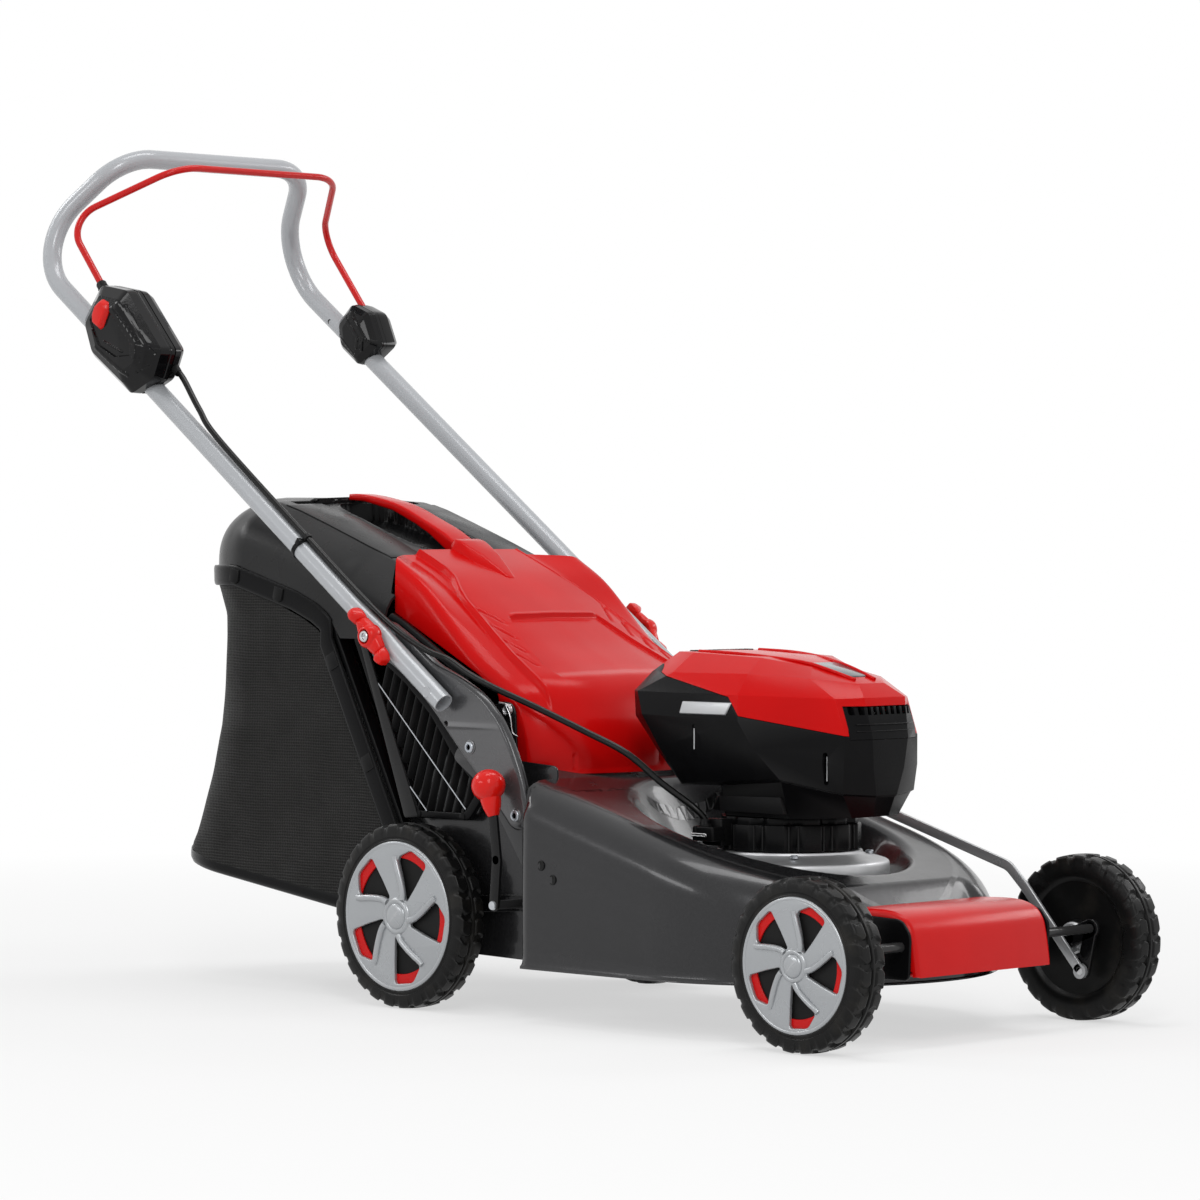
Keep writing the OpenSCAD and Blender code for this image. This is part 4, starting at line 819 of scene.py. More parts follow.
motor = {"x": deck["motorX"], "ribs": 12}
mx = motor["x"]
plateProfile = [(18, 150.6), (104, 150.6), (104.8, 152), (105, 160), (105, 166), (104.6, 168.2),
                (103.4, 169.8),
                (101.5, 170.8), (96, 172.6), (79, 176.4), (77, 178), (76.4, 180.2), (75, 180.6),
                (18, 180.6)]
plate = turnedPiece("motorPlateDisc", plateProfile, (mx, 0, 0), (0, 0, 1), "castZinc", 160, 28)
plateParts = [plate]
screw = [(0.05, 176), (4.2, 176), (4.2, 178.6), (3.4, 179.4), (2.2, 179.4), (1.8, 178.2), (0.05, 178.2)]
for k in range(4):  # flush screws round the seat
    a = math.radians(45 + 90 * k)
    at = (mx + 84 * math.cos(a), 84 * math.sin(a), 0)
    plateParts.append(turnedPiece("screw", screw, at, (0, 0, 1), "zincSteel", 32, 28))
fit(joined("motorPlate", plateParts), "chassis", "zinc_cast", "motor_plate")


def toothed(count, inner, outer, width, soft):
    # outline of a round body with square ribs
    out = []
    for k in range(count):
        a = 2 * math.pi * k / count
        h = width / 2 / outer
        for da, r in ((-h - 0.10, inner), (-h, outer), (h, outer), (h + 0.10, inner)):
            out.append((r * math.cos(a + da), r * math.sin(a + da)))
    return roundCorners(out, soft)


def standing(u, v, w):
    return mx + u, v, w


baseParts = [platePiece("baseBody", [toothed(motor["ribs"], 69, 75.5, 20, 2), ringOf(0, 0, 64, 64)], 181.5,
                        209,
                        "blackSatin", 1, 2, standing),
             platePiece("baseTop", [toothed(motor["ribs"], 66, 72.5, 17, 2), ringOf(0, 0, 30, 48)], 209,
                        216.5,
                        "blackSatin", 1, 2, standing)]
for k in range(motor["ribs"]):  # thin upright fins between the ribs
    a = 2 * math.pi * (k + 0.5) / motor["ribs"]
    for d in (-0.07, 0.07):
        baseParts.append(platePiece("fin", [[(66, -0.9), (73, -0.9), (73, 0.9), (66, 0.9)]], 182, 208,
                                    "blackSatin", 0.4, 1,
                                    lambda u, v, w, a=a + d: (mx + u * math.cos(a) - v * math.sin(a),
                                                              u * math.sin(a) + v * math.cos(a), w)))
baseParts.append(platePiece("terminal", [roundCorners([(-50, -82), (-22, -82), (-22, -62), (-50, -62)], 2)],
                            186, 214,
                            "blackSatin", 1.4, 2, standing))
fit(joined("motorBase", baseParts), "chassis", "black_plastic", "motor_base")

# cable connector on the motor's terminal block, with its metal clip
clipParts = [platePiece("plugBody", [roundCorners([(330.4, -97.6), (359.6, -97.6), (359.6, -77),
                                                   (330.4, -77)], 2.5)],
                        191.4, 206.6, "blackSatin", 1.4, 3, flat),
             platePiece("plugRib", [roundCorners([(334, -98.4), (337, -98.4), (337, -76.5), (334, -76.5)],
                                                 1)],
                        191, 207.2, "blackSatin", 0.6, 2, flat),
             turnedPiece("plugCollar", [(3.9, 206), (6.6, 206), (6.6, 209), (5.6, 211), (5.2, 214),
                                        (3.9, 214)],
                         (340, -87, 0), (0, 0, 1), "blackSatin", 32, 30),
             tubePiece("plugClip", rounded([(332, -99.2, 199), (352, -99.2, 199), (352, -99.2, 196.6),
                                            (332, -99.2, 196.6)], [1, 1]), 0.9, "steelBright", 12)]
fit(joined("cablePlug", clipParts), "chassis", "black_plastic", "cable_plug")
print("motor made")

# battery housing

# half outlines of the housing from the ground up, rear to front: (x, y, z)
housingRings = [
    [(330, 46, 217.4), (348, 64, 217.4), (440, 68, 217.4), (498, 36, 219), (506, 12, 220)],
    [(330, 52, 247), (350, 72, 249), (446, 87, 256), (501, 53, 243), (512, 15, 240)],
    [(287, 66, 247), (304, 84, 250), (448, 93, 260), (503, 56, 245), (514, 16, 242)],
    [(267, 82, 283), (284, 97, 286), (420, 102, 290), (506, 58, 272), (517, 24, 270)],
    [(248, 96, 320), (268, 107.5, 322), (404, 107.5, 318), (507, 57, 303), (519, 28, 302)],
    [(240, 89, 346), (258, 103.5, 346), (401, 104.5, 345), (493, 57, 342), (511, 32, 343)],
    [(250, 72, 366), (296, 90, 366), (400, 86.5, 366.5), (458, 56, 362), (493, 20, 357)],
    [(274, 56, 387), (300, 62, 386.6), (390, 56, 382.5), (436, 27, 373), (450, 9, 370.5)],
    [(280, 0, 388), (320, 0, 387.6), (384, 0, 384.6), (430, 0, 376), (450, 0, 371)]]
housing = {"wall": 3, "edge": 1.5, "middle": 385, "ear": (256, 358), "barrel": 16.5}
# the parting line climbs over the hinge, so that the lid turns clear of the case
earX, earZ = housing["ear"]
overHinge = []
for degrees in range(122, 20, -8):
    a = math.radians(degrees)
    overHinge.append((earX + housing["barrel"] * math.cos(a), earZ + housing["barrel"] * math.sin(a)))
housing["part"] = [(200, 372)] + overHinge + [(388, 342.5), (404, 323), (508, 303.5), (560, 303.5)]


def housingBody(name, drawIn, look):
    # closed faceted body of the whole housing, drawn in all round for its inside
    verts, faces = [], []
    last = len(housingRings) - 1
    for n, half in enumerate(housingRings):
        ring = []
        for x, y, z in half:
            x += drawIn * (1 if x < housing["middle"] else -1) * 0.9
            z += drawIn * (1 if n in (0, 1, 2) else -1 if n > last - 2 else 0)
            ring.append((x, max(y - drawIn, 0), z))
        verts += ring + [(x, -y, z) for x, y, z in reversed(ring)]
    n = len(housingRings[0]) * 2
    for k in range(last):
        for i in range(n):
            a, b = k * n + i, k * n + (i + 1) % n
            faces.append((a, b, b + n, a + n))
    faces.append(tuple(range(n)))
    return stitched(meshPiece(name, verts, faces, look, 20))


def besidePart(lift, above):
    # all the room above or below the parting line
    line = [(x, z + lift) for x, z in housing["part"]]
    closing = [(560, 440), (200, 440)] if above else [(560, 180), (200, 180)]
    return platePiece("room", [line + closing], -150, 150, "blackSatin", 0, 1)


def boxRoom(low, high):
    outline = [(low[0], low[1]), (high[0], low[1]), (high[0], high[1]), (low[0], high[1])]
    return platePiece("room", [outline], low[2], high[2], "blackSatin", 0, 1, flat)


grilleRoom = ((494, -52, 300), (560, 52, 334))


def grown(box, by):
    return tuple(v - by for v in box[0]), tuple(v + by for v in box[1])


slotPlan = {"spots": [((341, 285.5), (341, 311)), ((488, 256), (488, 285))], "r": 2.3}


def capsule(p, q, r, s, low, high, look):
    return platePiece("slot", [barOf(p, q, r, 8)], s * low, s * high, look, 0, 1)


case = housingBody("caseBody", 0, "blackSatin")
cutBy(case, besidePart(0, True), 30)
cutBy(case, boxRoom(*grilleRoom), 30)
softened(case, housing["edge"], 3, 10, 30)
cutBy(case, housingBody("inside", housing["wall"], "blackSatin"), 30)
for s in (-1, 1):
    low, high = sorted((s * 40.4, s * 47))
    cutBy(case, boxRoom((232, low, 350), (278, high, 382)), 30)
    for (p, q), depth in zip(slotPlan["spots"], (104.6, 62)):
        cutBy(case, capsule(p, q, slotPlan["r"], s, depth, depth + 12, "blackSatin"), 30)
caseParts = [case]
for s in (-1, 1):
    for (p, q), depth in zip(slotPlan["spots"], (105.2, 63.4)):  # bright strip in each upright slot
        caseParts.append(tubePiece("slotStrip", [(p[0], s * depth, p[1] + 2), (q[0], s * depth, q[1] - 2)],
                                   0.7,
                                   "satinSilver", 10))
    caseParts.append(platePiece("lug", [barOf(housing["ear"], (265, 342), 6)], s * 47, s * 53, "blackSatin",
                                0.6, 2))
    for x in (350, 420):
        caseParts.append(turnedPiece("post", [(0.05, 219), (4, 219), (4, 231.5), (0.05, 231.5)],
                                     (x, s * 34, 0), (0, 0, 1),
                                     "blackSatin", 24))
shelf = [(300, -70), (330, -80), (440, -82), (478, -60), (478, 60), (440, 82), (330, 80), (300, 70)]
caseParts.append(platePiece("shelf", [shelf], 252.8, 256.6, "blackSatin", 0.6, 1, flat))
socket = [[(454, -14), (478, -14), (478, 14), (454, 14)],
          [(459.6, -8.4), (472.4, -8.4), (472.4, 8.4), (459.6, 8.4)]]
caseParts.append(platePiece("keySocket", socket, 257, 277.6, "blackSatin", 0.4, 1, flat))
for s in (-1, 1):  # step moulded round the lower side
    step = [(330, 64.6, 222), (346, 71, 222), (440, 77, 222), (440, 82, 240), (346, 73, 238),
            (330, 60, 236),
            (440, 70, 222), (440, 72, 240)]
    caseParts.append(hullPiece("neckStep", [(x, s * y, z) for x, y, z in step], "blackSatin", 1, 2))
fit(joined("batteryCase", caseParts), "chassis", "gloss_black", "battery_case")

grille = keepIn(housingBody("frontGrille", 0, "blackSatin"), boxRoom(*grown(grilleRoom, -0.5)), 30)
cutBy(grille, housingBody("inside", housing["wall"], "blackSatin"), 30)
softened(grille, 0.7, 2, 12, 30)
for k in range(-5, 6):
    cutBy(grille, boxRoom((490, k * 9 - 2.7, 325.5), (540, k * 9 + 2.7, 345)), 30)
grilleParts = [grille]


def grilleX(y):
    # the housing's front, bowed in its middle and straight beside it
    return 518.6 - (y / 28) ** 2 * 0.5 if abs(y) < 28 else 518.3 - (abs(y) - 28) * 0.42


for z in (309, 316):  # shallow moulded lines across the grille
    line = [(grilleX(y), y, z) for y in range(-44, 45, 4)]
    grilleParts.append(tubePiece("grilleLine", line, 0.7, "blackSatin", 8))
fit(joined("frontGrille", grilleParts), "chassis", "black_plastic", "front_grille")

accentParts = []
for s in (-1, 1):
    spots = [(321, 323.4, 106), (387, 323.4, 106), (395, 337.6, 103.4), (323, 337.6, 103.4)]
    points = [(x, s * y, z) for x, z, y in spots]
    raised = [(323, 324.6, 105.6), (386, 324.6, 105.6), (393, 336.6, 103), (325, 336.6, 103)]
    points += [(x, s * (y + 3.2), z) for x, z, y in raised]
    accentParts.append(hullPiece("accent", points, "satinSilver", 0.9, 3))
fit(joined("sideAccents", accentParts), "chassis", "silver_accent", "side_accents")

lid = housingBody("lidBody", 0, "redGloss")
cutBy(lid, besidePart(0.6, False), 30)
cutBy(lid, boxRoom(*grown(grilleRoom, 0.5)), 30)
softened(lid, 2.0, 4, 9, 30)
cutBy(lid, housingBody("inside", housing["wall"], "redGloss"), 30)
lidParts = [lid]
window = [(427, 17, 376.4), (434, 20, 374.6), (474, 13, 363.4), (470, 16, 364)]
points = [(x, s * y, z + h) for x, y, z in window for s in (-1, 1) for h in (-3, 1.0)]
lidParts.append(hullPiece("window", points, "windowGrey", 0.6, 2))
for s in (-1, 1):  # ribs that sweep from the rear vents round the window
    line = [(294, s * 47, 387.2), (345, s * 44, 385.6), (392, s * 35, 381.6), (425, s * 24, 377),
            (452, s * 20.5, 370.4),
            (484, s * 15.5, 360.6)]
    lidParts.append(tubePiece("sweep", spline(line, 6), 2.0, "redGloss", 16))
for k in range(-6, 7):  # vents across the rear of the top, drawn as black matte slits: painted shade of the openings
    slit = [(x, k * 7 + y, z) for x in (277.5, 289) for y in (-1.8, 1.8) for z in (385.4, 388.2)]
    lidParts.append(hullPiece("vent", slit, "blackMatte", 0.3, 1))
for s in (-1, 1):
    lidParts.append(platePiece("ear", [barOf(housing["ear"], (270, 369), 5.8)], s * 41.2, s * 46.4,
                               "redGloss", 0.5, 2))
fit(joined("batteryLid", lidParts), "lid", "red_plastic", "battery_lid")
print("battery housing made")

# rear flap

flap = {"wall": 3, "hinge": (119, 324), "edge": 9, "raise": 6.2, "panel": 3.4}
flapTop = spline([(193, 256), (193, 266), (192.5, 280), (189, 299), (181, 320), (167, 340), (146, 355),
                  (115, 370),
                  (77, 389), (40, 410.5), (0, 434), (-51, 464), (-105, 488)], 8)
flapUnder = [(-105, 446), (95, 346), (101, 318), (108, 256)]
flapDrop = [(0, 0), (60, 1.0), (95, 2.6), (118, 5.4), (134, 9.5), (142, 13.5)]
flapDropRear = [(0, 0), (95, 0.6), (130, 2.2), (138, 3.2), (142, 5)]
flapCrease = [(-105, 78), (-62, 80), (-42, 84), (-20, 96), (0, 103), (40, 111), (90, 119), (140, 125),
              (193, 127)]
clipMarks = (-112, -58, 0, 58, 112)


def panelHalf(x):
    return mix(68, 97, min(max((x - 28) / 90, 0), 1))


def flapDetail(x, y, z, a):
    # how far the skin stands above its plain form; a runs 0 at the lip to 1 at the rear edge
    side = abs(y)
    crease = between(flapCrease, x)
    front = ease(0.16, 0.30, a)
    up = flap["raise"] * (1 - ease(crease - 1.8, crease + 1.8, side)) * front
    up += 0.9 * math.exp(-((side - crease + 2.4) / 1.6) ** 2) * front
    width = panelHalf(x)
    inPanel = ease(29, 32, x) * (1 - ease(132, 150, x)) * (1 - ease(width - 1.4, width + 1.4, side))
    up -= flap["panel"] * inPanel
    up += 2.6 * math.exp(-((x - 28) / 2.2) ** 2) * (1 - ease(width - 6, width - 2, side))
    for n in range(4):  # short slanted cuts beside the panel
        start = 12 + n * 26
        along = (x - start) / 34
        line = mix(crease - 6, width + 7, along)
        up -= 2.6 * math.exp(-((side - line) / 1.5) ** 2) * ease(-0.05, 0.12, along) * ease(1.0, 0.7, along)
    if a < 0.2:
        for mark in clipMarks:
            up -= 1.8 * (1 - ease(1.0, 2.2, abs(y - mark))) * ease(262, 265, z) * (1 - ease(276, 279, z))
        up += 1.1 * (1 - ease(258, 261, z))
    return up


flapArc = [math.radians(15 * k) for k in range(1, 7)]
flapTop = resample(flapTop, 2.3)
wallSteps = 5
flapRows = len(flapTop)


def flapColumns(x):
    # distances from the middle, gathered along the panel edge and the crease
    width, crease = panelHalf(x), between(flapCrease, x)
    crease = max(crease, width + 4)
    near = [-3, -1.5, -0.5, 0.5, 1.5, 3]
    out = [(width - 4) * k / 20 for k in range(20)] + [width + d for d in near if width + d < crease - 3.4]
    start = out[-1]
    out += [mix(start, crease - 3.2, k / 20) for k in range(1, 21)]
    out += [crease + d for d in (-2.2, -1.2, -0.4, 0.4, 1.2, 2.2)]
    out += [mix(crease + 2.2, 141, k / 14) for k in range(1, 15)]
    out += [141 + flap["edge"] * math.sin(a) for a in flapArc]
    out = out + [out[-1]] * (72 - len(out))
    return [-v for v in reversed(out[1:])] + out


def flapNormal(j):
    a, b = flapTop[max(j - 1, 0)], flapTop[min(j + 1, flapRows - 1)]
    d = (b - a).normalized()
    return d.y, -d.x  # outward from the profile, which runs rearward


def flapPoint(i, j):
    px, pz = flapTop[j]
    columns = flapColumns(px)
    n = len(columns)
    wall = 0
    if i < wallSteps:
        wall, k = wallSteps - i, 0
    elif i >= wallSteps + n:
        wall, k = i - wallSteps - n + 1, n - 1
    else:
        k = i - wallSteps
    y = columns[k]
    side = abs(y)
    rearward = ease(60, -60, px)
    drop = mix(between(flapDrop, min(side, 142)), between(flapDropRear, min(side, 142)), rearward)
    if side > 141:
        arc = math.asin(min((side - 141) / flap["edge"], 1))
        drop += flap["edge"] * (1 - math.cos(arc)) * mix(1, 3.2, rearward) + (side - 141) * 0.5
    a = j / (flapRows - 1)
    nx, nz = flapNormal(j)
    level = ease(0.10, 0.42, a)
    up = flapDetail(px, y, pz, a)
    x = px + nx * up - nx * drop * 0.35 * (1 - level)
    z = pz + nz * up - drop * level - drop * 0.25 * (1 - level)
    z = max(z, 256) if a < 0.05 else z
    front = 193 - 46 * (min(side, 150) / 150) ** 3.4
    rear = -105 if side < 99 else mix(-105, -62, (side - 99) / 53)
    x = rear + (x + 105) / 298 * (front - rear)
    if wall:
        low = between(flapUnder, x) if x < 108 else 256
        z = mix(z, min(z, low), wall / wallSteps)
    return x, y, z


flapSkin = sheetPiece("flapSkin", flapPoint, len(flapColumns(0)) + 2 * wallSteps, flapRows, "redGloss",
                      sharp=38)
fromBelow(flapSkin)
thickened(flapSkin, flap["wall"], 38)

bridgeTop = spline([(-84, 484), (-104, 499), (-130, 514), (-160, 527), (-200, 543), (-240, 552),
                    (-270, 556),
                    (-287, 556)], 4)
bridgeUnder = [(-288, 549), (-262, 547.5), (-213, 537), (-175, 522), (-150, 510), (-118, 489), (-96, 476)]
bridge = platePiece("bridge", [[tuple(p) for p in bridgeTop] + bridgeUnder], -15.5, 15.5, "redGloss", 3.2,
                    4)
for vert in bridge.data.vertices:  # narrower towards the rear
    away = (hubX - vert.co.x) * 1000
    vert.co.y *= mix(1.15, 0.78, ease(95, 285, away))
bump = [(-107, 19, 505.5), (-107, 27, 492), (-66, 13, 487), (-66, 23, 476), (-34, 5, 463), (-40, 11, 462),
        (-96, 20, 503),
        (-30, 2, 455)]
bump = hullPiece("bump", [(x, s * y, z) for x, y, z in bump for s in (-1, 1)], "redGloss", 3.2, 4, 40, 1)
flapParts = [flapSkin, bridge, bump]
for s in (-1, 1):
    flapParts.append(turnedPiece("hingeEar", [(4.06, 0), (9, 0), (9, 14), (4.06, 14)],
                                 (flap["hinge"][0], s * 135.5, flap["hinge"][1]),
                                 (0, s, 0), "redGloss", 32))
fit(joined("rearFlap", flapParts), "flap", "red_plastic", "rear_flap")
print("rear flap made")

# flap insert with the grip recess

insert = {"half": 95.6, "front": -105.6, "rear": -289}
insertTop = [(-290, 546.5), (-284, 546), (-248, 539), (-213, 530), (-180, 518), (-150, 506), (-105, 486)]
coverSpine = [(-404, 551), (-328, 554), (-300, 550), (-256, 538), (-215, 524), (-170, 508), (-112, 487),
              (-62, 466)]
recessFloor = [(-290, 530), (-262, 521), (-200, 499), (-140, 469), (-105, 452)]


def insertHeight(x, y):
    side = abs(y)
    z = between(insertTop, x) - 0.0009 * side * side - 4 * ease(80, 96, side)
    z += 1.5 * ease(-150, -112, x) * (1 - ease(70, 90, side))
    # grip recess: a long rounded hollow, wider at its middle
    half = 58 * math.sqrt(max(0, 1 - ((x + 196) / 84) ** 2)) ** 0.55 if abs(x + 196) < 84 else 0
    inside = ease(half + 1.6, half - 1.6, side) if half > 3 else 0
    lip = math.exp(-((side - half - 3) / 2.6) ** 2) * (1 if half > 3 else 0)
    z = mix(z + 1.4 * lip, between(recessFloor, x), inside)
    # side pockets
    pocket = ease(-283, -280, x) * ease(-198, -201, x + (side - 66) * 0.35)
    pocket = pocket * ease(64, 66.5, side) * ease(91, 88.5, side)
    rib = math.exp(-((x + 246) / 1.2) ** 2) * 9
    z -= pocket * (15 - rib)
    return z


insertRows, insertCols = 94, 97


def insertPoint(i, j):
    y = mix(-insert["half"], insert["half"], (i - 1) / (insertCols - 1))
    x = mix(insert["front"], insert["rear"], (j - 1) / (insertRows - 1))
    wall = i in (0, insertCols + 1) or j in (0, insertRows + 1)
    y = max(-insert["half"], min(insert["half"], y))
    x = max(insert["rear"], min(insert["front"], x))
    z = insertHeight(x, y)
    if wall:
        z = mix(440, 522, (insert["front"] - x) / (insert["front"] - insert["rear"]))
    return x, y, z


flapInsert = sheetPiece("flapInsert", insertPoint, insertCols + 2, insertRows + 2, "coverBlack", sharp=38)
fromBelow(flapInsert)
flapInsert.data.materials.append(finish["coverGrey"])
for face in flapInsert.data.polygons:  # the plain top is grey, the hollows are black
    x, z = (face.center.x - hubX) * 1000, face.center.z * 1000
    if face.normal.z > 0.8 and z > between(insertTop, x) - 9 and x > -286:
        face.material_index = 1
thickened(flapInsert, 2.2, 38)
for s in (-1, 1):  # flat grey panels that reach out to the cover's shoulder
    verts = []
    steps = 24
    for k in range(steps + 1):
        x = mix(-278, -107, k / steps)
        for side, lift in ((62, 1.0), (116, 1.6)):
            inner = max(side, 58 * math.sqrt(max(0, 1 - ((x + 196) / 84) ** 2)) ** 0.55
                        + 6 if abs(x + 196) < 84 else 0)
            y = inner if side < 100 else side - 2 * ease(-150, -107, x)
            shoulder = between(coverSpine, x) - 1.5 * (side > 100)
            z = max(between(insertTop, x) - 0.0009 * y * y, shoulder) + lift
            verts.append((x, s * y, z))
    faces = [(2 * k, 2 * k + 1, 2 * k + 3, 2 * k + 2) for k in range(steps)]
    panel = meshPiece("insertPanel", verts, faces, "coverGrey", 30)
    fromBelow(panel)
    thickened(panel, 1.4, 30)
    softened(panel, 0.5, 2)
    flapInsert = joined("flapInsert", [flapInsert, panel])
fit(flapInsert, "flap", "gloss_black", "flap_insert")
print("flap insert made")

# grass bag

bag = {"half": 170, "corner": 110, "sag": 8, "wrinkle": 1.3}
bagBack = [(150, -447), (176, -438), (238, -419), (293, -404), (394, -393), (420, -391), (466, -404),
           (600, -404)]
bagSeam = [(-404, 473), (-302, 473), (-203, 446), (-168, 432), (-150, 421), (-138, 406), (-131, 396)]
trayLow = [(-450, 160), (-445, 148), (-430, 138), (-360, 129), (-135, 97), (-100, 96), (-62, 121),
           (-20, 150)]


def mouthX(z):
    return -10 - (z - 152) * 140 / 272


def bagSpot(s, z, front, rear=None):
    # point and outward direction on the bag's outline, s from 0 at the right front to 1 at the left
    rear = between(bagBack, z) if rear is None else rear
    r, half = bag["corner"], bag["half"]
    mirror = -1 if s <= 0.5 else 1
    t = (s if s <= 0.5 else 1 - s) * 2
    side, arc, back = front - (rear + r), math.pi / 2 * r, half - r
    run = t * (side + arc + back)
    if run < side:
        return front - run, mirror * half, (0, mirror)
    if run < side + arc:
        a = (run - side) / r
        way = (-math.sin(a), mirror * math.cos(a))
        return rear + r - r * math.sin(a), mirror * (half - r + r * math.cos(a)), way
    return rear, mirror * (half - r - (run - side - arc)), (-1, 0)


coverPlan = {"around": 150, "deep": 112, "ledge": 2.6}
coverSlope = [(0, 0), (1.5, 0.26), (5, 0.44), (12, 0.6), (24, 0.75), (40, 0.885), (53, 0.975), (55, 0.985),
              (58, 0.99),
              (112, 1)]
coverStops = [0, 0.5, 1.5, 3, 5, 8, 12, 18, 24, 32, 40, 46, 50, 53, 54, 55, 56.5, 58, 64, 72, 80, 90, 100,
              106, 112]


def coverPoint(i, j):
    s = i / (coverPlan["around"] - 1)
    x, y, (nx, ny) = bagSpot(s, 473, -62, rear=-404)
    foot = 396 if x > -131 else between([(p[0], p[1]) for p in bagSeam], x)
    tight = ease(-250, -330, x)
    deep = coverPlan["deep"]
    ledge = coverPlan["ledge"] * tight
    power = mix(3.1, 2.5, tight)
    if j == 0:
        return x, y, foot
    if j == 1:
        return x - nx * ledge * 0.9, y - ny * ledge * 0.9, foot + 2.5
    if j <= 26:
        a = math.pi / 2 * (j - 2) / 24
        inward = ledge + (deep - ledge) * (1 - math.cos(a) ** (2 / power))
        rise = math.sin(a) ** (2 / power)
        crisp = ease(-330, -285, x)
        stop = coverStops[j - 2]
        inward = mix(inward, stop, crisp)
        rise = mix(rise, between(coverSlope, stop), crisp)
        px, py = x - nx * inward, y - ny * inward
        return px, py, mix(foot + 3, between(coverSpine, px), rise)
    t = (j - 26) / 10
    px, py = x - nx * deep, y - ny * deep
    py = mix(py, 0, t)
    return px, py, between(coverSpine, px) + 1.5 * ease(60, 0, abs(py))


bagCoverShell = sheetPiece("bagCover", coverPoint, coverPlan["around"], 37, "coverGrey", sharp=28)
stitched(bagCoverShell)
fromBelow(bagCoverShell)


def coverGone(x, y, z):
    side = abs(y)
    if z < 410:
        return False
    slant = 99.5 + (x + 112) * 52.5 / 44
    return (x > -292.5 and side < 96.6) or (x > -112 and (side < 99.5 or side < min(152, slant)))


cuts = [((-292.5, 0), (1, 0)), ((-112, 0), (1, 0))]
for s in (-1, 1):
    cuts += [((0, s * 96.6), (0, 1)), ((0, s * 99.5), (0, 1)), ((0, s * 152), (0, 1)),
             ((-112, s * 99.5), (-52.5, s * 44))]
trimmed(bagCoverShell, cuts, coverGone)
thickened(bagCoverShell, 3, 28)
fit(bagCoverShell, "bag", "cover_grey", "bag_cover")
print("bag cover made")

rimPath = []
for k in range(14):  # up the side of the mouth
    z = mix(166, 396, k / 13)
    rimPath.append(((mouthX(z) - 9, -170, z), (-math.cos(0.475), 0, -math.sin(0.475)), (0, -1, 0)))
for k in range(1, 61):
    s = k / 60 * 0.5
    x, y, (nx, ny) = bagSpot(s, 473, -139, rear=-404)
    z = between(bagSeam, x)
    slope = (between(bagSeam, x - 3) - between(bagSeam, x + 3)) / 6
    down = Vector((-slope * abs(ny), 0, -1)).normalized()
    rimPath.append(((x, y, z), tuple(down), (nx, ny, 0)))
rimPath += [((p[0], -p[1], p[2]), d, (n[0], -n[1], n[2])) for p, d, n in reversed(rimPath[:-1])]
rimSection = [(-2, -1), (-2, 1.6), (-0.8, 2.6), (2, 3.0), (16, 2.6), (19, 2.0), (20.5, 0.8), (20.5, -1.5)]


def rimPoint(i, j):
    p, d, n = (Vector(v) for v in rimPath[i])
    down, out = rimSection[j % len(rimSection)]
    return tuple(p + d * down + n * out)


def closedSweep(name, count, sides, at, look):
    verts = [at(i, j) for i in range(count) for j in range(sides)]
    faces = [(i * sides + j, i * sides + (j + 1) % sides, (i + 1) * sides + (j + 1) % sides,
              (i + 1) * sides + j)
             for i in range(count - 1) for j in range(sides)]
    faces += [tuple(range(sides)), tuple(range((count - 1) * sides, count * sides))]
    return meshPiece(name, verts, faces, look, 40)


frameParts = [closedSweep("rimBand", len(rimPath), len(rimSection), rimPoint, "blackSatin")]
for s in (-1, 1):  # clips that hold the cover on the rim
    for x, z in ((-300, 472), (-226, 452)):
        slope = math.atan2(between(bagSeam, x - 6) - between(bagSeam, x + 6), 12)
        c, d = math.cos(slope), math.sin(slope)
        tab = [(-7, -1), (7, -1), (7, -14), (4, -17), (-4, -17), (-7, -14)]
        outline = [(x + u * c + v * d, z - u * d + v * c) for u, v in tab]
        frameParts.append(platePiece("clip", [outline], s * 171.5, s * 175, "blackSatin", 1, 2))
    for z in (372, 262):  # clips down the mouth
        x = mouthX(z) - 14
        outline = [(x + u * 0.89 - v * 0.457, z + u * 0.457 + v * 0.89) for u, v in
                   ((-9, -9), (5, -9), (5, 9), (-9, 9), (-11, 6), (-11, -6))]
        frameParts.append(platePiece("clip", [outline], s * 171.5, s * 174.5, "blackSatin", 1, 2))
lean = math.atan2(140, 272)


def inMouth(u, v, w):
    # u across, v up the mouth, w rearward from its plane
    return (-10 - v * math.sin(lean) - w * math.cos(lean), u, 152 + v * math.cos(lean) - w * math.sin(lean))


mouthRing = [roundCorners([(-167, 0), (167, 0), (167, 305), (-167, 305)], 14),
             roundCorners([(-150, 14), (150, 14), (150, 291), (-150, 291)], 20)]
frameParts.append(platePiece("mouthRing", mouthRing, 0.4, 7, "blackSatin", 1.4, 3, inMouth))


def trayZ(x):
    return between(trayLow, x)


def trayPoint(i, j):
    s = i / 119
    x, y, (nx, ny) = bagSpot(s, 150, -22, rear=-449)
    inward, rise = ((0.6, 16), (0, 12), (0, 7), (2, 2.5), (6, 0.4), (12, 0))[j] if j < 6 else (12, 0)
    px, py = x - nx * inward, y - ny * inward
    if j >= 6:
        t = (j - 5) / 8
        py = py * (1 - t)
        px = max(px, -440 + 60 * t)
    return px, py, trayZ(max(px, -446)) + rise + (0.8 * math.sin(px / 9) ** 8 if j > 7 else 0)


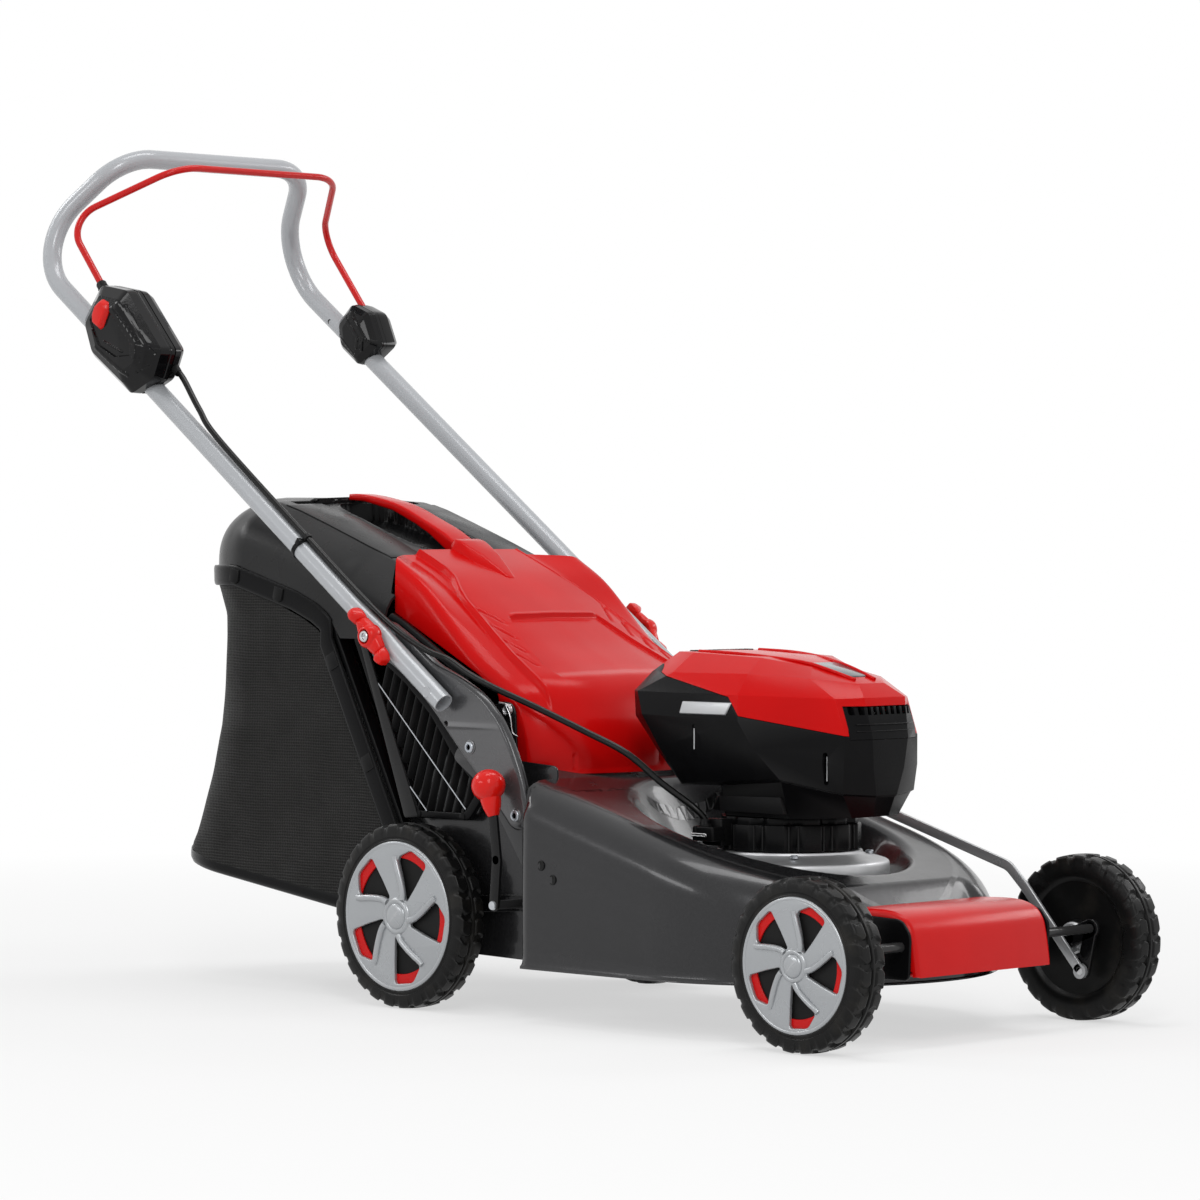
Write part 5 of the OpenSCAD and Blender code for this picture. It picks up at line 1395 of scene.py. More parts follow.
tray = sheetPiece("tray", trayPoint, 120, 14, "blackSatin", sharp=40)
if sum(f.normal.z * f.area for f in tray.data.polygons) > 0:
    tray.data.flip_normals()
thickened(tray, 2.5, 40)
frameParts.append(tray)
bagFrame = joined("bagFrame", frameParts)
fit(bagFrame, "bag", "black_plastic", "bag_frame")

fabricRows, fabricAround = 64, 190


def fabricPoint(i, j):
    s = i / (fabricAround - 1)
    v = j / (fabricRows - 1)
    # the top edge follows the rim, the bottom edge the tray
    x0, y0, _ = bagSpot(s, 473, -128, rear=-404)
    top = between(bagSeam, x0) - 15
    x1, y1, _ = bagSpot(s, 160, -24, rear=-446)
    low = trayZ(max(x1, -446)) + 13
    z = mix(low, top, v)
    x, y, (nx, ny) = bagSpot(s, z, mouthX(z) - 8)
    side = abs(ny)
    pull = math.sin(math.pi * v)
    slack = bag["sag"] * pull ** 0.8 * (0.35 + 0.65 * side)
    slack += 2.5 * ease(0.0, 0.07, v) - 2.5
    near = noise.noise(Vector((x * 0.006, y * 0.006, z * 0.011)))
    fold = noise.noise(Vector((x * 0.02 + z * 0.006, y * 0.02, z * 0.016 + 4)))
    slack += bag["wrinkle"] * (1.8 * near + fold) * pull
    slack += 1.6 * pull * math.exp(-((v - 0.12) / 0.06) ** 2) * math.sin(s * 60)
    slack = max(slack, 0.6 * ease(-190, -165, x))  # stays off the rear tyres
    return x - nx * slack, y - ny * slack, z


fabric = sheetPiece("bagFabric", fabricPoint, fabricAround, fabricRows, "bagMesh", sharp=70)
outward = sum(f.normal.x * f.area for f in fabric.data.polygons if abs(f.center.y) < 0.05)
if outward > 0:
    fabric.data.flip_normals()
fit(fabric, "bag", "mesh", "bag_fabric")
print("grass bag made")

# handle tube

handle = {"up": Vector((-0.80696, 0, 0.59061)), "across": Vector((0.59061, 0, 0.80696)),
          "pin": Vector((46, 0, 342)),
          "half": 198, "radius": 11, "bore": 9.6, "clamp": 99}


def onHandle(s, t, y):
    # s up along the tube from the fold pin, t square to it
    p = handle["pin"] + handle["up"] * s + handle["across"] * t
    return Vector((p.x, y, p.z))


tubeSide = [onHandle(-20, 0, handle["half"]), Vector((-636.7, handle["half"], 841.7)),
            Vector((-531.1, 140.4, 947.2))]
tubeCorners = [Vector((p.x, -p.y, p.z)) for p in tubeSide] + tubeSide[::-1]
tubeLine = rounded(tubeCorners, [70, 62, 62, 70], 16)


def dense(line, step):
    # the same line with its straights cut up as well
    out = []
    for a, b in zip(line, line[1:]):
        n = max(1, int((b - a).length / step))
        out += [a.lerp(b, k / n) for k in range(n)]
    return out + [line[-1]]


tubeLine = dense(tubeLine, 6)
tubeLength = sum((b - a).length for a, b in zip(tubeLine, tubeLine[1:]))


def tubeShape(run):
    # pressed a little flat at the clamp bolts
    near = min(run, tubeLength - run)
    press = math.exp(-((near - 20 - handle["clamp"]) / 26) ** 2)
    return 1 - 0.20 * press, 1 + 0.06 * press


tube = tubePiece("tube", tubeLine, handle["radius"], "tubePaint", 40, tubeShape, handle["bore"], sharp=40)
tubeParts = [tube]
for s in (-1, 1):  # pressed rivet at the fold pin
    tubeParts.append(turnedPiece("rivet", [(0.05, 10.6), (6.2, 9.6), (6.2, 10.4), (5.4, 11.2), (4.6, 10.9),
                                           (3.6, 11.0),
                                           (0.05, 11.2)], onHandle(0, 0, s * handle["half"]), (0, s, 0),
                                 "tubePaint", 32))
for s in (-1, 1):  # small hole past each control box, drawn as a black matte disc: painted shade of the opening
    tubeParts.append(turnedPiece("hole", [(0.05, 10.2), (2.9, 9.8), (3.1, 10.75), (2.6, 10.9),
                                          (0.05, 10.95)],
                                 onHandle(722 if s > 0 else 700, 0, s * handle["half"]), (0.12, -s, -0.15),
                                 "blackMatte", 24))
fit(joined("handleTube", tubeParts), "handle", "handle_paint", "handle_tube")

# brackets

bracket = {"outer": 186.6, "flange": 8.6, "sheet": 2.4, "bend": 6,
           "line": [(-62, 372), (-74, 400), (-60, 416), (-36, 417), (2, 396), (36, 372), (72, 358),
                    (108, 340),
                    (134, 316), (152, 288), (166, 258), (176, 226), (178, 212), (170, 200), (160, 197),
                    (150, 200),
                    (101, 252), (72, 279), (30, 322), (-5, 352), (-40, 372)]}


def pressedPlate(name, outline, holes, s, look):
    # sheet metal pressed with a rounded flange towards the mower
    outer, deep, sheet, bend = (bracket[k] for k in ("outer", "flange", "sheet", "bend"))
    line = resample([Vector(p) for p in outline] + [Vector(outline[0])], 2.5)[:-1]
    line = [tuple(p) for p in line]
    steps = [math.pi / 2 * k / 6 for k in range(7)]
    levels = [(bend * (1 - math.sin(a)), outer - bend * (1 - math.cos(a))) for a in steps]
    levels += [(0, outer - deep), (sheet, outer - deep)]
    small = bend - sheet
    levels += [(sheet + small * (1 - math.sin(a)), outer - sheet - small * (1 - math.cos(a)))
               for a in reversed(steps)]
    rings = [(inset(line, d), w) for d, w in levels]
    flange = sheetPiece(name, lambda i, j: (rings[j][0][i][0], s * rings[j][1], rings[j][0][i][1]),
                        len(line),
                        len(rings), look, ring=True, sharp=50)
    skin = (outer - 1.2) / 1000
    fromOut = sum(f.normal.y * s * f.area for f in flange.data.polygons if abs(f.center.y) > skin)
    if fromOut < 0:
        flange.data.flip_normals()
    face = platePiece(name, [inset(line, bend)] + holes, s * (outer - sheet), s * outer, look, 0, 1,
                      sharp=40)
    return joined(name, [flange, face])


bracketLine = roundCorners(bracket["line"], 12, 5)
bracketHoles = [ringOf(54, 308, 3.2, 24)]


def makeBracket(name, s):
    outer = bracket["outer"]
    parts = [pressedPlate(name, bracketLine, bracketHoles, s, "bracketPaint")]
    boss = [(0.05, 0), (7.5, 0), (7.5, 0.7), (6.8, 1.1), (0.05, 1.1)]
    screw = [(0.05, 0.6), (6.0, 0.6), (6.0, 2.3), (5.3, 3.0), (3.2, 3.3), (2.7, 2.0), (0.05, 2.0)]
    for x, z in ((91, 284), (160, 214)):
        at = (x, s * outer, z)
        parts.append(turnedPiece("boss", boss, at, (0, s, 0), "bracketPaint", 32))
        parts.append(turnedPiece("screw", screw, at, (0, s, 0), "zincSteel", 32))
    at = onHandle(handle["clamp"], 0, s * (outer - 2.9))
    parts.append(turnedPiece("washer", [(4.6, 0), (10, 0), (10, 3.6), (4.6, 3.6)], at, (0, s, 0),
                             "zincSteel", 32))
    parts.append(turnedPiece("pinHead", [(0.05, 0), (4, 0), (4, 9.5), (0.05, 9.5)],
                             onHandle(0, 0, s * (outer - 1)), (0, s, 0), "zincSteel", 24))
    return joined(name, parts)


fit(makeBracket("bracketRight", -1), "chassis", "bracket_paint", "bracket_right")
fit(makeBracket("bracketLeft", 1), "chassis", "bracket_paint", "bracket_left")

# wing knobs

knob = {"turn": math.radians(36.2 + 12), "face": 209.4}


def makeKnob(name, s):
    centre = onHandle(handle["clamp"], 0, 0)
    c, d = math.cos(knob["turn"]), math.sin(knob["turn"])

    def at(u, v, w):
        # u along the wings, v across them, w outward from the tube
        return centre.x + u * c + v * d, s * (knob["face"] + w), centre.z - u * d + v * c

    boss = [(7.6, 0), (12.4, 0), (13, 1), (13, 10), (12, 13), (9.6, 15.4), (8.2, 15.8), (7.6, 15), (7.4, 9)]
    parts = [turnedPiece("knobBoss", boss, (centre.x, s * knob["face"], centre.z), (0, s, 0), "redBright",
                         48),
             turnedPiece("knobFloor", [(4.2, 4), (7.8, 4), (7.8, 9.4), (4.2, 9.4)],
                         (centre.x, s * knob["face"], centre.z), (0, s, 0), "redBright", 32)]
    for side in (-1, 1):
        root = [(side * 6, v, w) for v in (-11, 11) for w in (0.5, 9)]
        root += [(side * 8, v, 13) for v in (-7, 7)]
        mid = [(side * 21, v, w) for v in (-7.6, 7.6) for w in (1, 8)]
        tip = [(side * 31, -8, 1.5), (side * 38, -4.5, 2), (side * 38, 4.5, 2), (side * 31, 8, 1.5),
               (side * 30, -5, 17), (side * 36.5, -3, 15.5), (side * 36.5, 3, 15.5), (side * 30, 5, 17),
               (side * 38, -4.5, 10), (side * 38, 4.5, 10), (side * 26, 0, 16)]
        parts.append(hullPiece("knobRoot", [at(*p) for p in root + mid + [(side * 24, 0, 12.5)]],
                               "redBright", 1.6, 3))
        parts.append(hullPiece("knobWing", [at(*p) for p in mid[:4] + tip], "redBright", 1.8, 3))
    return joined(name, parts)


fit(makeKnob("knobRight", -1), "right_knob", "red_plastic", "knob_right")
fit(makeKnob("knobLeft", 1), "left_knob", "red_plastic", "knob_left")

boltParts = []
for s in (-1, 1):
    at = onHandle(handle["clamp"], 0, 0)
    out = (0, s, 0)
    boltParts.append(turnedPiece("shank", [(0.05, 178), (3.9, 178), (3.9, 223), (0.05, 223)], at, out,
                                 "zincSteel", 24))
    boltParts.append(platePiece("boltHead", [[(at.x + 8 * math.cos(a), at.z + 8 * math.sin(a))
                                              for a in (math.pi / 3 * k for k in range(6))]],
                                s * 179, s * 183, "zincSteel", 0.7, 2))
    nut = [(2.4, 221.2), (6.1, 221.2), (6.1, 225.2), (5.4, 226), (3.6, 226), (3.1, 225.2), (3.1, 223.4),
           (2.4, 223)]
    boltParts.append(turnedPiece("nut", nut, at, out, "steelBright", 6 if s > 0 else 32, 30))
fit(joined("knobBolts", boltParts), "handle", "zinc_steel", "knob_bolts")
print("handle, brackets and knobs made")

# control bail

bail = {"radius": 4, "bends": [32, 55, 55, 32], "pivot": (-478, 768.9)}
bailSide = [(*bail["pivot"], 200), (-562, 873, 200), (-454, 933, 121.5)]
bailCorners = [(x, -y, z) for x, z, y in bailSide] + [(x, y, z) for x, z, y in reversed(bailSide)]
bailLine = rounded(bailCorners, bail["bends"], 14)
bailParts = [tubePiece("bailRod", bailLine, bail["radius"], "redRod", 28)]
for s in (-1, 1):
    low, high = sorted((s * 183, s * 219))
    bailParts.append(tubePiece("bailEnd", [(bail["pivot"][0], y, bail["pivot"][1]) for y in (low, high)],
                               bail["radius"], "redRod", 24))
fit(joined("bailBar", bailParts), "control_bail", "red_paint", "bail")
leg = (Vector(bailCorners[1]) - Vector(bailCorners[0])).normalized()
boot = [(4.1, 22), (6.6, 22), (7, 24), (6.3, 25.5), (6.9, 27), (6.2, 28.5), (6.7, 30), (6.0, 31.5),
        (6.2, 36), (5.2, 38),
        (4.1, 38)]
fit(turnedPiece("bailBoot", boot, bailCorners[0], leg, "rubberSoft", 40), "control_bail", "rubber",
    "bail_boot")

# control boxes

def toLine(p, line):
    # distance from a point to a bent line
    best = 1e9
    for a, b in zip(line, line[1:]):
        a, b = Vector(a), Vector(b)
        t = min(max((p - a).dot(b - a) / (b - a).length_squared, 0), 1)
        best = min(best, (p - a - (b - a) * t).length)
    return best


def insideOf(p, outline):
    hit = False
    for (ax, ay), (bx, by) in zip(outline, outline[1:] + outline[:1]):
        if (ay > p.y) != (by > p.y) and p.x < (bx - ax) * (p.y - ay) / (by - ay) + ax:
            hit = not hit
    return hit


def boxHalf(name, box, s, out, detail=None):
    # half a control box: rings of its outline run in to the middle while the face rises
    ring = [Vector(p) for p in roundCorners(box["outline"], 5, 3)]
    ring = resample(ring + ring[:1], 1.6)[:-1]
    centre = Vector(box["centre"])
    layers = box["outer"] if out > 0 else box["inner"]
    shares = []
    for (qa, wa), (qb, wb) in zip(layers, layers[1:]):
        n = max(1, int(abs(qa - qb) * box["rings"]))
        shares += [(mix(qa, qb, k / n), mix(wa, wb, k / n)) for k in range(n)]
    shares.append(layers[-1])
    at = handle["pin"] + handle["up"] * box["s"]

    def point(i, j):
        q, w = shares[j]
        p = centre + (ring[i] - centre) * q
        if detail and q < 0.97:
            w += detail(p, q)
        spot = at - handle["up"] * p.x + handle["across"] * p.y
        return spot.x, s * (handle["half"] + out * w), spot.z

    return sheetPiece(name, point, len(ring), len(shares), "blackGloss", ring=True, sharp=16)


switchBox = {"s": 608, "outline": [(-83, 6), (-47, -17), (36, -14), (57, 22), (50, 57), (-41, 77),
                                   (-81, 57)],
             "centre": (-6, 32), "rings": 60,
             "outer": [(1.0, 1.5), (1.0, 6), (0.985, 7), (0.985, 9), (1.0, 10), (0.99, 22),
                       (0.80, 33.5), (0.60, 37.5), (0.0, 38.5)],
             "inner": [(0.0, 0.0), (1.0, 0.0), (0.98, 9), (0.90, 16), (0.78, 21.5), (0.0, 22)]}
ribsOut = [(-31, 62), (34, 53), (41, 34)]
ribsIn = [(-34, 53), (22, 45), (29, 33)]
tongue = [(-62, 22), (-60, 44), (-46, 56), (-30, 48), (14, 41), (22, 30), (2, 14), (-30, 8)]


def switchDetail(p, q):
    up = 0
    a, b = toLine(p, ribsOut), toLine(p, ribsIn)
    up += 1.5 * ease(3.6, 2.6, a) + 1.5 * ease(3.6, 2.6, b)
    if insideOf(p, tongue):
        up -= 2.2
        up += 1.1 * ease(1.3, 0.7, toLine(p, [(-26, 16), (8, 25)]))
    low = toLine(p, [(-34, 2), (30, 8)])
    up += 1.2 * ease(2.4, 1.4, low)
    crest = toLine(p, [(-22, 66), (46, 50)])
    up -= 1.6 * ease(1.8, 0.8, crest)
    vent = toLine(p, [(40, 20), (47, 33)])
    return up - 1.4 * ease(1.6, 0.9, vent)


fit(boxHalf("switchBoxOuter", switchBox, -1, 1, switchDetail), "handle", "gloss_black", "switch_box")
fit(boxHalf("switchBoxInner", switchBox, -1, -1), "handle", "gloss_black", "switch_box_cover")

pivotBox = {"s": 657, "outline": [(-47, 9), (-26, -12), (14, -12), (29, 28), (-9, 50), (-40, 42)],
            "centre": (-10, 18),
            "rings": 44,
            "outer": [(1.0, 0.3), (1.0, 8), (0.97, 15), (0.80, 23), (0.6, 25.6), (0.0, 26)],
            "inner": [(1.0, 0.0), (1.0, 5), (0.985, 6), (0.985, 7), (1.0, 8), (0.97, 14), (0.78, 20),
                      (0.55, 22), (0.0, 22.4)]}
pivotRibs = [[(-30, 33), (6, 26), (12, 10)], [(-32, 25), (-1, 19), (4, 8)]]


def pivotDetail(p, q):
    up = 0
    for rib in pivotRibs:
        up += 1.1 * ease(2.6, 1.7, toLine(p, rib))
    up -= 1.0 * ease(1.6, 0.8, toLine(p, [(-26, 38), (14, 24)]))
    up += 0.8 * ease(1.8, 0.9, toLine(p, [(-30, 2), (6, -2)]))
    return up


fit(boxHalf("pivotBoxOuter", pivotBox, 1, 1, pivotDetail), "handle", "gloss_black", "pivot_box")
fit(boxHalf("pivotBoxInner", pivotBox, 1, -1, pivotDetail), "handle", "gloss_black", "pivot_box_cover")

buttonFace = [(-61, 42), (-56, 54), (-44, 57), (-38, 52), (-35, 28), (-38, 23), (-52, 22), (-59, 30)]


def boxSpot(u, v, w):
    p = onHandle(switchBox["s"], 0, 0) - handle["up"] * u + handle["across"] * v
    return p.x, -(handle["half"] + w), p.z


buttonPoints = [boxSpot(u, v, 22) for u, v in buttonFace]
buttonPoints += [boxSpot(mix(-48, u, 0.98), mix(40, v, 0.98), 36) for u, v in buttonFace]
buttonPoints += [boxSpot(mix(-48, u, 0.72), mix(40, v, 0.78), 41.5) for u, v in buttonFace]
fit(hullPiece("safetyButton", buttonPoints, "redBright", 1.2, 3), "button", "red_plastic", "safety_button")
gland = turnedPiece("cableGland", [(3.7, 0), (6.5, 0), (6.3, 10), (5.2, 16), (4.4, 20), (3.7, 20)],
                    onHandle(566, 34, -192), -handle["up"], "rubberSoft", 32)
fit(gland, "handle", "gloss_black")

# cable

cableRadius = 3.5
cableSpots = [onHandle(560, 34, -192), onHandle(538, 34, -192), onHandle(490, 24, -196),
              onHandle(440, 17, -198),
              onHandle(258, 15, -198), onHandle(160, 15, -198), onHandle(90, 17, -195),
              onHandle(40, 25, -190),
              onHandle(16, 31, -181), (80, -177, 361), (112, -168, 346), (150, -152, 329), (205, -130, 303),
              (255, -116, 280), (296, -106, 250), (330, -94, 226), (340, -87, 213), (340, -87, 208)]
cableLine = resample(spline(cableSpots, 10), 5)
cable = tubePiece("cableRun", cableLine, cableRadius, "cableSheath", 20)
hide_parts("handle_cable", "deck_cable")
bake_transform(cable)

tieAt = onHandle(255.5, 0, -198)
tieParts = [turnedPiece("tieBand", [(11.1, 0), (12.5, 0), (12.6, 0.6), (12.6, 4.4), (12.5, 5), (11.1, 5)],
                        tieAt,
                        handle["up"], "blackSatin", 48)]
tieParts.append(turnedPiece("tieLoop", [(3.6, 0), (5.0, 0), (5.0, 5), (3.6, 5)], onHandle(255.5, 15, -198),
                            handle["up"], "blackSatin", 32))
tieParts.append(hullPiece("tieHead", [tuple(onHandle(s, t, y)) for s in (255, 261) for t in (6, 13)
                                      for y in (-209.8, -204)], "blackSatin", 0.6))
fit(joined("cableTie", tieParts), "handle", "black_plastic", "cable_tie")

# pieces inside the switch box

springLine = []
for k in range(120):
    a = 2 * math.pi * k / 16
    u, v, w = -48 + 4 * math.cos(a), 39 + 4 * math.sin(a), mix(10, 21.5, k / 119)
    springLine.append(boxSpot(u, v, w))
fit(tubePiece("buttonSpring", springLine, 0.6, "steelBright", 8), "handle", "steel", "button_spring")
switchCorners = [(u, v, w) for u in (-16, 24) for v in (28, 50) for w in (-13.6, 13.4)]
fit(hullPiece("powerSwitch", [boxSpot(*p) for p in switchCorners], "blackSatin", 1), "handle",
    "black_plastic", "power_switch")
print("bail, boxes and cable made")

# wheels

wheel = {"tread": 19, "lugs": 26, "lugHeight": 2.6, "spokes": 5}


def makeTyre(name, at, d, w, s):
    # one closed skin: wheel disc, rim, side walls and lugged tread; s is the outer side
    r = d / 2
    rim = r - wheel["tread"]
    lugs = wheel["lugs"] if d > 190 else wheel["lugs"] - 3
    tread = [(w * (0.03 + 0.94 * k / 30)) for k in range(31)]
    inside = [(8, 0.2), (15, 0.2), (17, 1), (19, 8), (rim * 0.55, 9), (rim - 9, 6.5), (rim - 6, 3),
              (rim - 3, 1),
              (rim + 3, 0.4), (rim + 8, 0.2)]
    outside = [(rim + 8, w - 0.2), (rim + 4.5, w - 0.1), (rim + 3.5, w - 0.9), (rim + 2, w - 0.8),
               (rim + 1, w), (rim, w),
               (rim - 0.2, w - 1), (rim - 0.2, w - 4.8), (rim - 6, w - 5.2), (rim - 8, 12), (17, 12),
               (17, w - 14),
               (8, w - 14)]
    profile = [(p[0], p[1], None) for p in inside] + [(r, h, k / 30) for k, h in enumerate(tread)]
    profile += [(p[0], p[1], None) for p in outside]
    around = 520

    def point(i, j):
        a = 2 * math.pi * i / around
        rr, h, t = profile[j % len(profile)]
        if t is not None:
            edge = abs(t - 0.5) * 2
            crown = r - 1.2 * edge ** 2 - 3.2 * ease(0.90, 1.0, edge)
            side = 1 if t > 0.5 else 0
            wave = 0.30 * math.sin(math.pi * edge) * (1 if side else -1)
            phase = (a * lugs / (2 * math.pi) + 0.5 * side + wave) % 1
            block = ease(0.05, 0.13, phase) * ease(0.80, 0.72, phase)
            rib = ease(0.13, 0.07, edge)
            slot = ease(0.22, 0.16, edge) * ease(0.09, 0.13, edge)
            high = max(rib, block * (1 - slot))
            rr = crown - wheel["lugHeight"] * (1 - high)
        elif rr > rim + 6 and (h > w - 0.5 or h < 0.5):
            side = 1 if h > w / 2 else 0
            phase = (a * lugs / (2 * math.pi) + 0.5 * side) % 1
            block = ease(0.05, 0.13, phase) * ease(0.80, 0.72, phase)
            rr = rr + 1.8 * (block - 0.4)
        y = (abs(at[1]) + h) * s
        return at[0] + rr * math.cos(a), y, at[2] + rr * math.sin(a)

    verts = [point(i, j) for i in range(around) for j in range(len(profile))]
    return meshPiece(name, verts, turnFaces(around, len(profile)), "tyreRubber", 32)


def capWindow(r, k):
    # outline of one opening between two spokes, as seen from outside with z up
    spots = [(0.285, 31), (0.50, 11), (0.74, 1), (0.80, 3.5), (0.905, 15), (0.915, 19), (0.905, 36),
             (0.875, 39),
             (0.55, 41), (0.30, 43), (0.275, 40)]
    out = []
    for q, t in spots:
        a = math.radians(t + 72 * k)
        out.append((q * r * math.sin(a), q * r * math.cos(a)))
    return out


def makeCap(name, at, d, w, s, turn):
    r = d / 2 - wheel["tread"] - 0.2
    base = abs(at[1]) + w - 5
    ct, st = math.cos(turn), math.sin(turn)

    def standing(u, v, w):
        # u to the viewer's right from outside, v up, w outward
        x, z = u * ct + v * st, -u * st + v * ct
        return at[0] + (x if s < 0 else -x), s * (base + w), at[2] + z

    outlines = [ringOf(0, 0, r * 0.955, 120)]
    outlines += [roundCorners(capWindow(r, k), 2.2, 3) for k in range(wheel["spokes"])]
    plate = platePiece(name + "Plate", outlines, 0.4, 5.6, "capSilver", 1.6, 4, standing, sharp=45)
    parts = [plate]
    centre = (at[0], s * base, at[2])
    out = (0, s, 0)
    parts.append(turnedPiece("rimRing", [(r * 0.93, 0.4), (r, 0.4), (r, 4.4), (r - 0.6, 5.4),
                                         (r - 1.8, 6.2), (r - 3.2, 6.1),
                                         (r * 0.935, 5.0)], centre, out, "capSilver", 160, 40))
    hub = r * 0.165
    parts.append(turnedPiece("hub", [(0.05, 10.4), (hub * 0.5, 10.1), (hub * 0.86, 9.2), (hub, 8.0),
                                     (hub * 1.05, 7.0),
                                     (hub * 1.12, 7.6), (hub * 1.28, 8.0), (hub * 1.42, 7.2),
                                     (hub * 1.56, 4.6),
                                     (hub * 1.56, 2), (0.05, 2)], centre, out, "capSilver", 96, 40))
    for k in range(wheel["spokes"]):  # raised ridge along one edge of each spoke
        t0 = math.radians(72 * k)
        line = []
        for q, t in ((0.25, 27), (0.34, 20), (0.46, 10.5), (0.60, 3), (0.72, -1.5), (0.79, -2.5)):
            a = t0 + math.radians(t)
            h = 5.4 - 0.8 * ease(0.62, 0.80, q)
            line.append(standing(q * r * math.sin(a), q * r * math.cos(a), h))
        ridge = tubePiece("ridge", spline(line, 5), r * 0.047, "capSilver", 16, sharp=60)
        parts.append(ridge)
    cap = joined(name, parts)
    inner = [platePiece("capBack", [ringOf(0, 0, r * 0.97, 96)], -3.2, -0.6, "blackMatte", 0.4, 1,
                        standing),
             platePiece("capTint", [ringOf(0, 0, r * 0.93, 96), ringOf(0, 0, r * 0.775, 96)], -0.5, 1.4,
                        "redSatin", 0.3, 1, standing)]
    return joined(name, [cap] + inner)


# middle of the inner face, diameter and width of each pair
rearWheel = ((0, 171, 100), 200, 37)
frontWheel = ((600, 200, 87.5), 175, 40)
wheelPlan = {"rearRight": (rearWheel, -1, "rear_right", 0.0),
             "rearLeft": (rearWheel, 1, "rear_left", 0.3),
             "frontRight": (frontWheel, -1, "front_right", 0.05),
             "frontLeft": (frontWheel, 1, "front_left", 0.5)}
for name, ((at, d, w), s, node, turn) in wheelPlan.items():
    body = node + "_wheel"
    fit(makeTyre(name + "Tyre", at, d, w, s), body, "tyre", "wheel_" + node)
    fit(makeCap(name + "Cap", at, d, w, s, turn), body, "cap_silver", "cap_" + node)
    if name == "frontLeft":  # ribbed grey boss on the inner side
        parts = [turnedPiece("boss", [(6.2, 0), (17, 0), (17, 3), (15, 5), (6.2, 5)],
                             (at[0], s * (at[1] + 1), at[2]),
                             (0, -s, 0), "satinSilver", 48)]
        for k in range(8):
            a = math.pi / 4 * k
            x, z = at[0] + 11.5 * math.cos(a), at[2] + 11.5 * math.sin(a)
            parts.append(turnedPiece("bossRib", [(0.05, 0), (2.2, 0), (2.2, 6), (0.05, 6.4)],
                                     (x, s * (at[1] + 1), z),
                                     (0, -s, 0), "satinSilver", 16))
        fit(joined("frontLeftBoss", parts), body, "tyre")
print("wheels made")

# axles, height lever and link

crank = {"rear": (28, 112), "front": (628, 99.5), "radius": 5, "thick": 5, "drop": (-10, -45)}


def makeAxle(name, shaft, hub, armY, hubY, linkY, body, look):
    low = (shaft[0] + crank["drop"][0], shaft[1] + crank["drop"][1])
    parts = [tubePiece("shaft", [(shaft[0], -armY - 4.6, shaft[1]), (shaft[0], armY + 4.6, shaft[1])],
                       crank["radius"],
                       look, 32)]
    for s in (-1, 1):
        parts.append(platePiece("arm", [barOf(shaft, hub, 10)], s * armY, s * (armY + crank["thick"]), look,
                                1.2, 3))
        parts.append(tubePiece("stub", [(hub[0], s * armY, hub[1]), (hub[0], s * hubY, hub[1])], 6,
                               "steelBright", 32))
        parts.append(turnedPiece("shaftHead", [(0.05, 0), (7, 0), (7, 1.2), (5.8, 2.2), (0.05, 2.6)],
                                 (shaft[0], s * (armY + 4.8), shaft[1]), (0, s, 0), "zincSteel", 6))
    parts.append(platePiece("linkArm", [barOf(shaft, low, 8)], armY, armY + 5, look, 1.2, 3))
    parts.append(tubePiece("linkPin", [(low[0], linkY, low[1]), (low[0], armY + 1, low[1])], 4,
                           "steelBright", 24))
    fit(joined(name, parts), body, "steel", body.split("_")[0] + "_axle")


makeAxle("rearAxle", crank["rear"], rearWheel[0][::2], 163, 196, 156.5, "rear_crank", "zincSteel")
makeAxle("frontAxle", crank["front"], frontWheel[0][::2], 192, 228, 187, "front_crank", "blackEnamel")

lever = {"foot": (150, 120), "ball": (141, 246), "hub": 157}
leverX, leverZ = lever["foot"]
leverParts = [platePiece("leverArm", [barOf(crank["rear"], lever["foot"], 9), ringOf(*crank["rear"], 5.1)],
                         -lever["hub"] - 5, -lever["hub"], "blackEnamel", 1.2, 3),
              tubePiece("leverBar", [(leverX, -158, leverZ), (leverX, -210.5, leverZ)], 5, "blackEnamel",
                        24),
              platePiece("leverUpright", [barOf(lever["foot"], (154, 168), 6.2)], -211, -206, "blackEnamel",
                         1.4, 3),
              platePiece("leverTip", [barOf((154, 168), (148, 217), 6)], -211, -206, "blackEnamel", 1.4, 3),
              turnedPiece("leverScrew", [(0.05, 0), (5, 0), (4.4, 1.8), (0.05, 2.2)],
                          (leverX, -211, leverZ), (0, -1, 0),
                          "zincSteel", 32)]
fit(joined("heightLever", leverParts), "rear_crank", "black_paint", "height_lever")
way = Vector((lever["ball"][0] - 153, 0, lever["ball"][1] - 196)).normalized()
reach = 33
foot = Vector((lever["ball"][0], -208.5, lever["ball"][1])) - way * reach
grip = [(0.05, 0), (5.6, 0), (6.4, 0.8), (9.6, 9.5), (10.4, 13.5), (10.9, 16)]
for k in range(15):
    a = math.radians(-52 + 142 * k / 14)
    grip.append((18.2 * math.cos(a), reach + 17.2 * math.sin(a)))
grip[-1] = (0.05, reach + 17.2)
ball = turnedPiece("leverBall", grip, tuple(foot), way, "redBright", 64, 26)
fit(ball, "rear_crank", "red_plastic", "lever_ball")

linkFront = [(618, 54.5), (545, 138), (522, 160), (235, 246)]
linkRear = [(235, 250), (200, 266), (158, 264), (134, 205), (18, 67)]


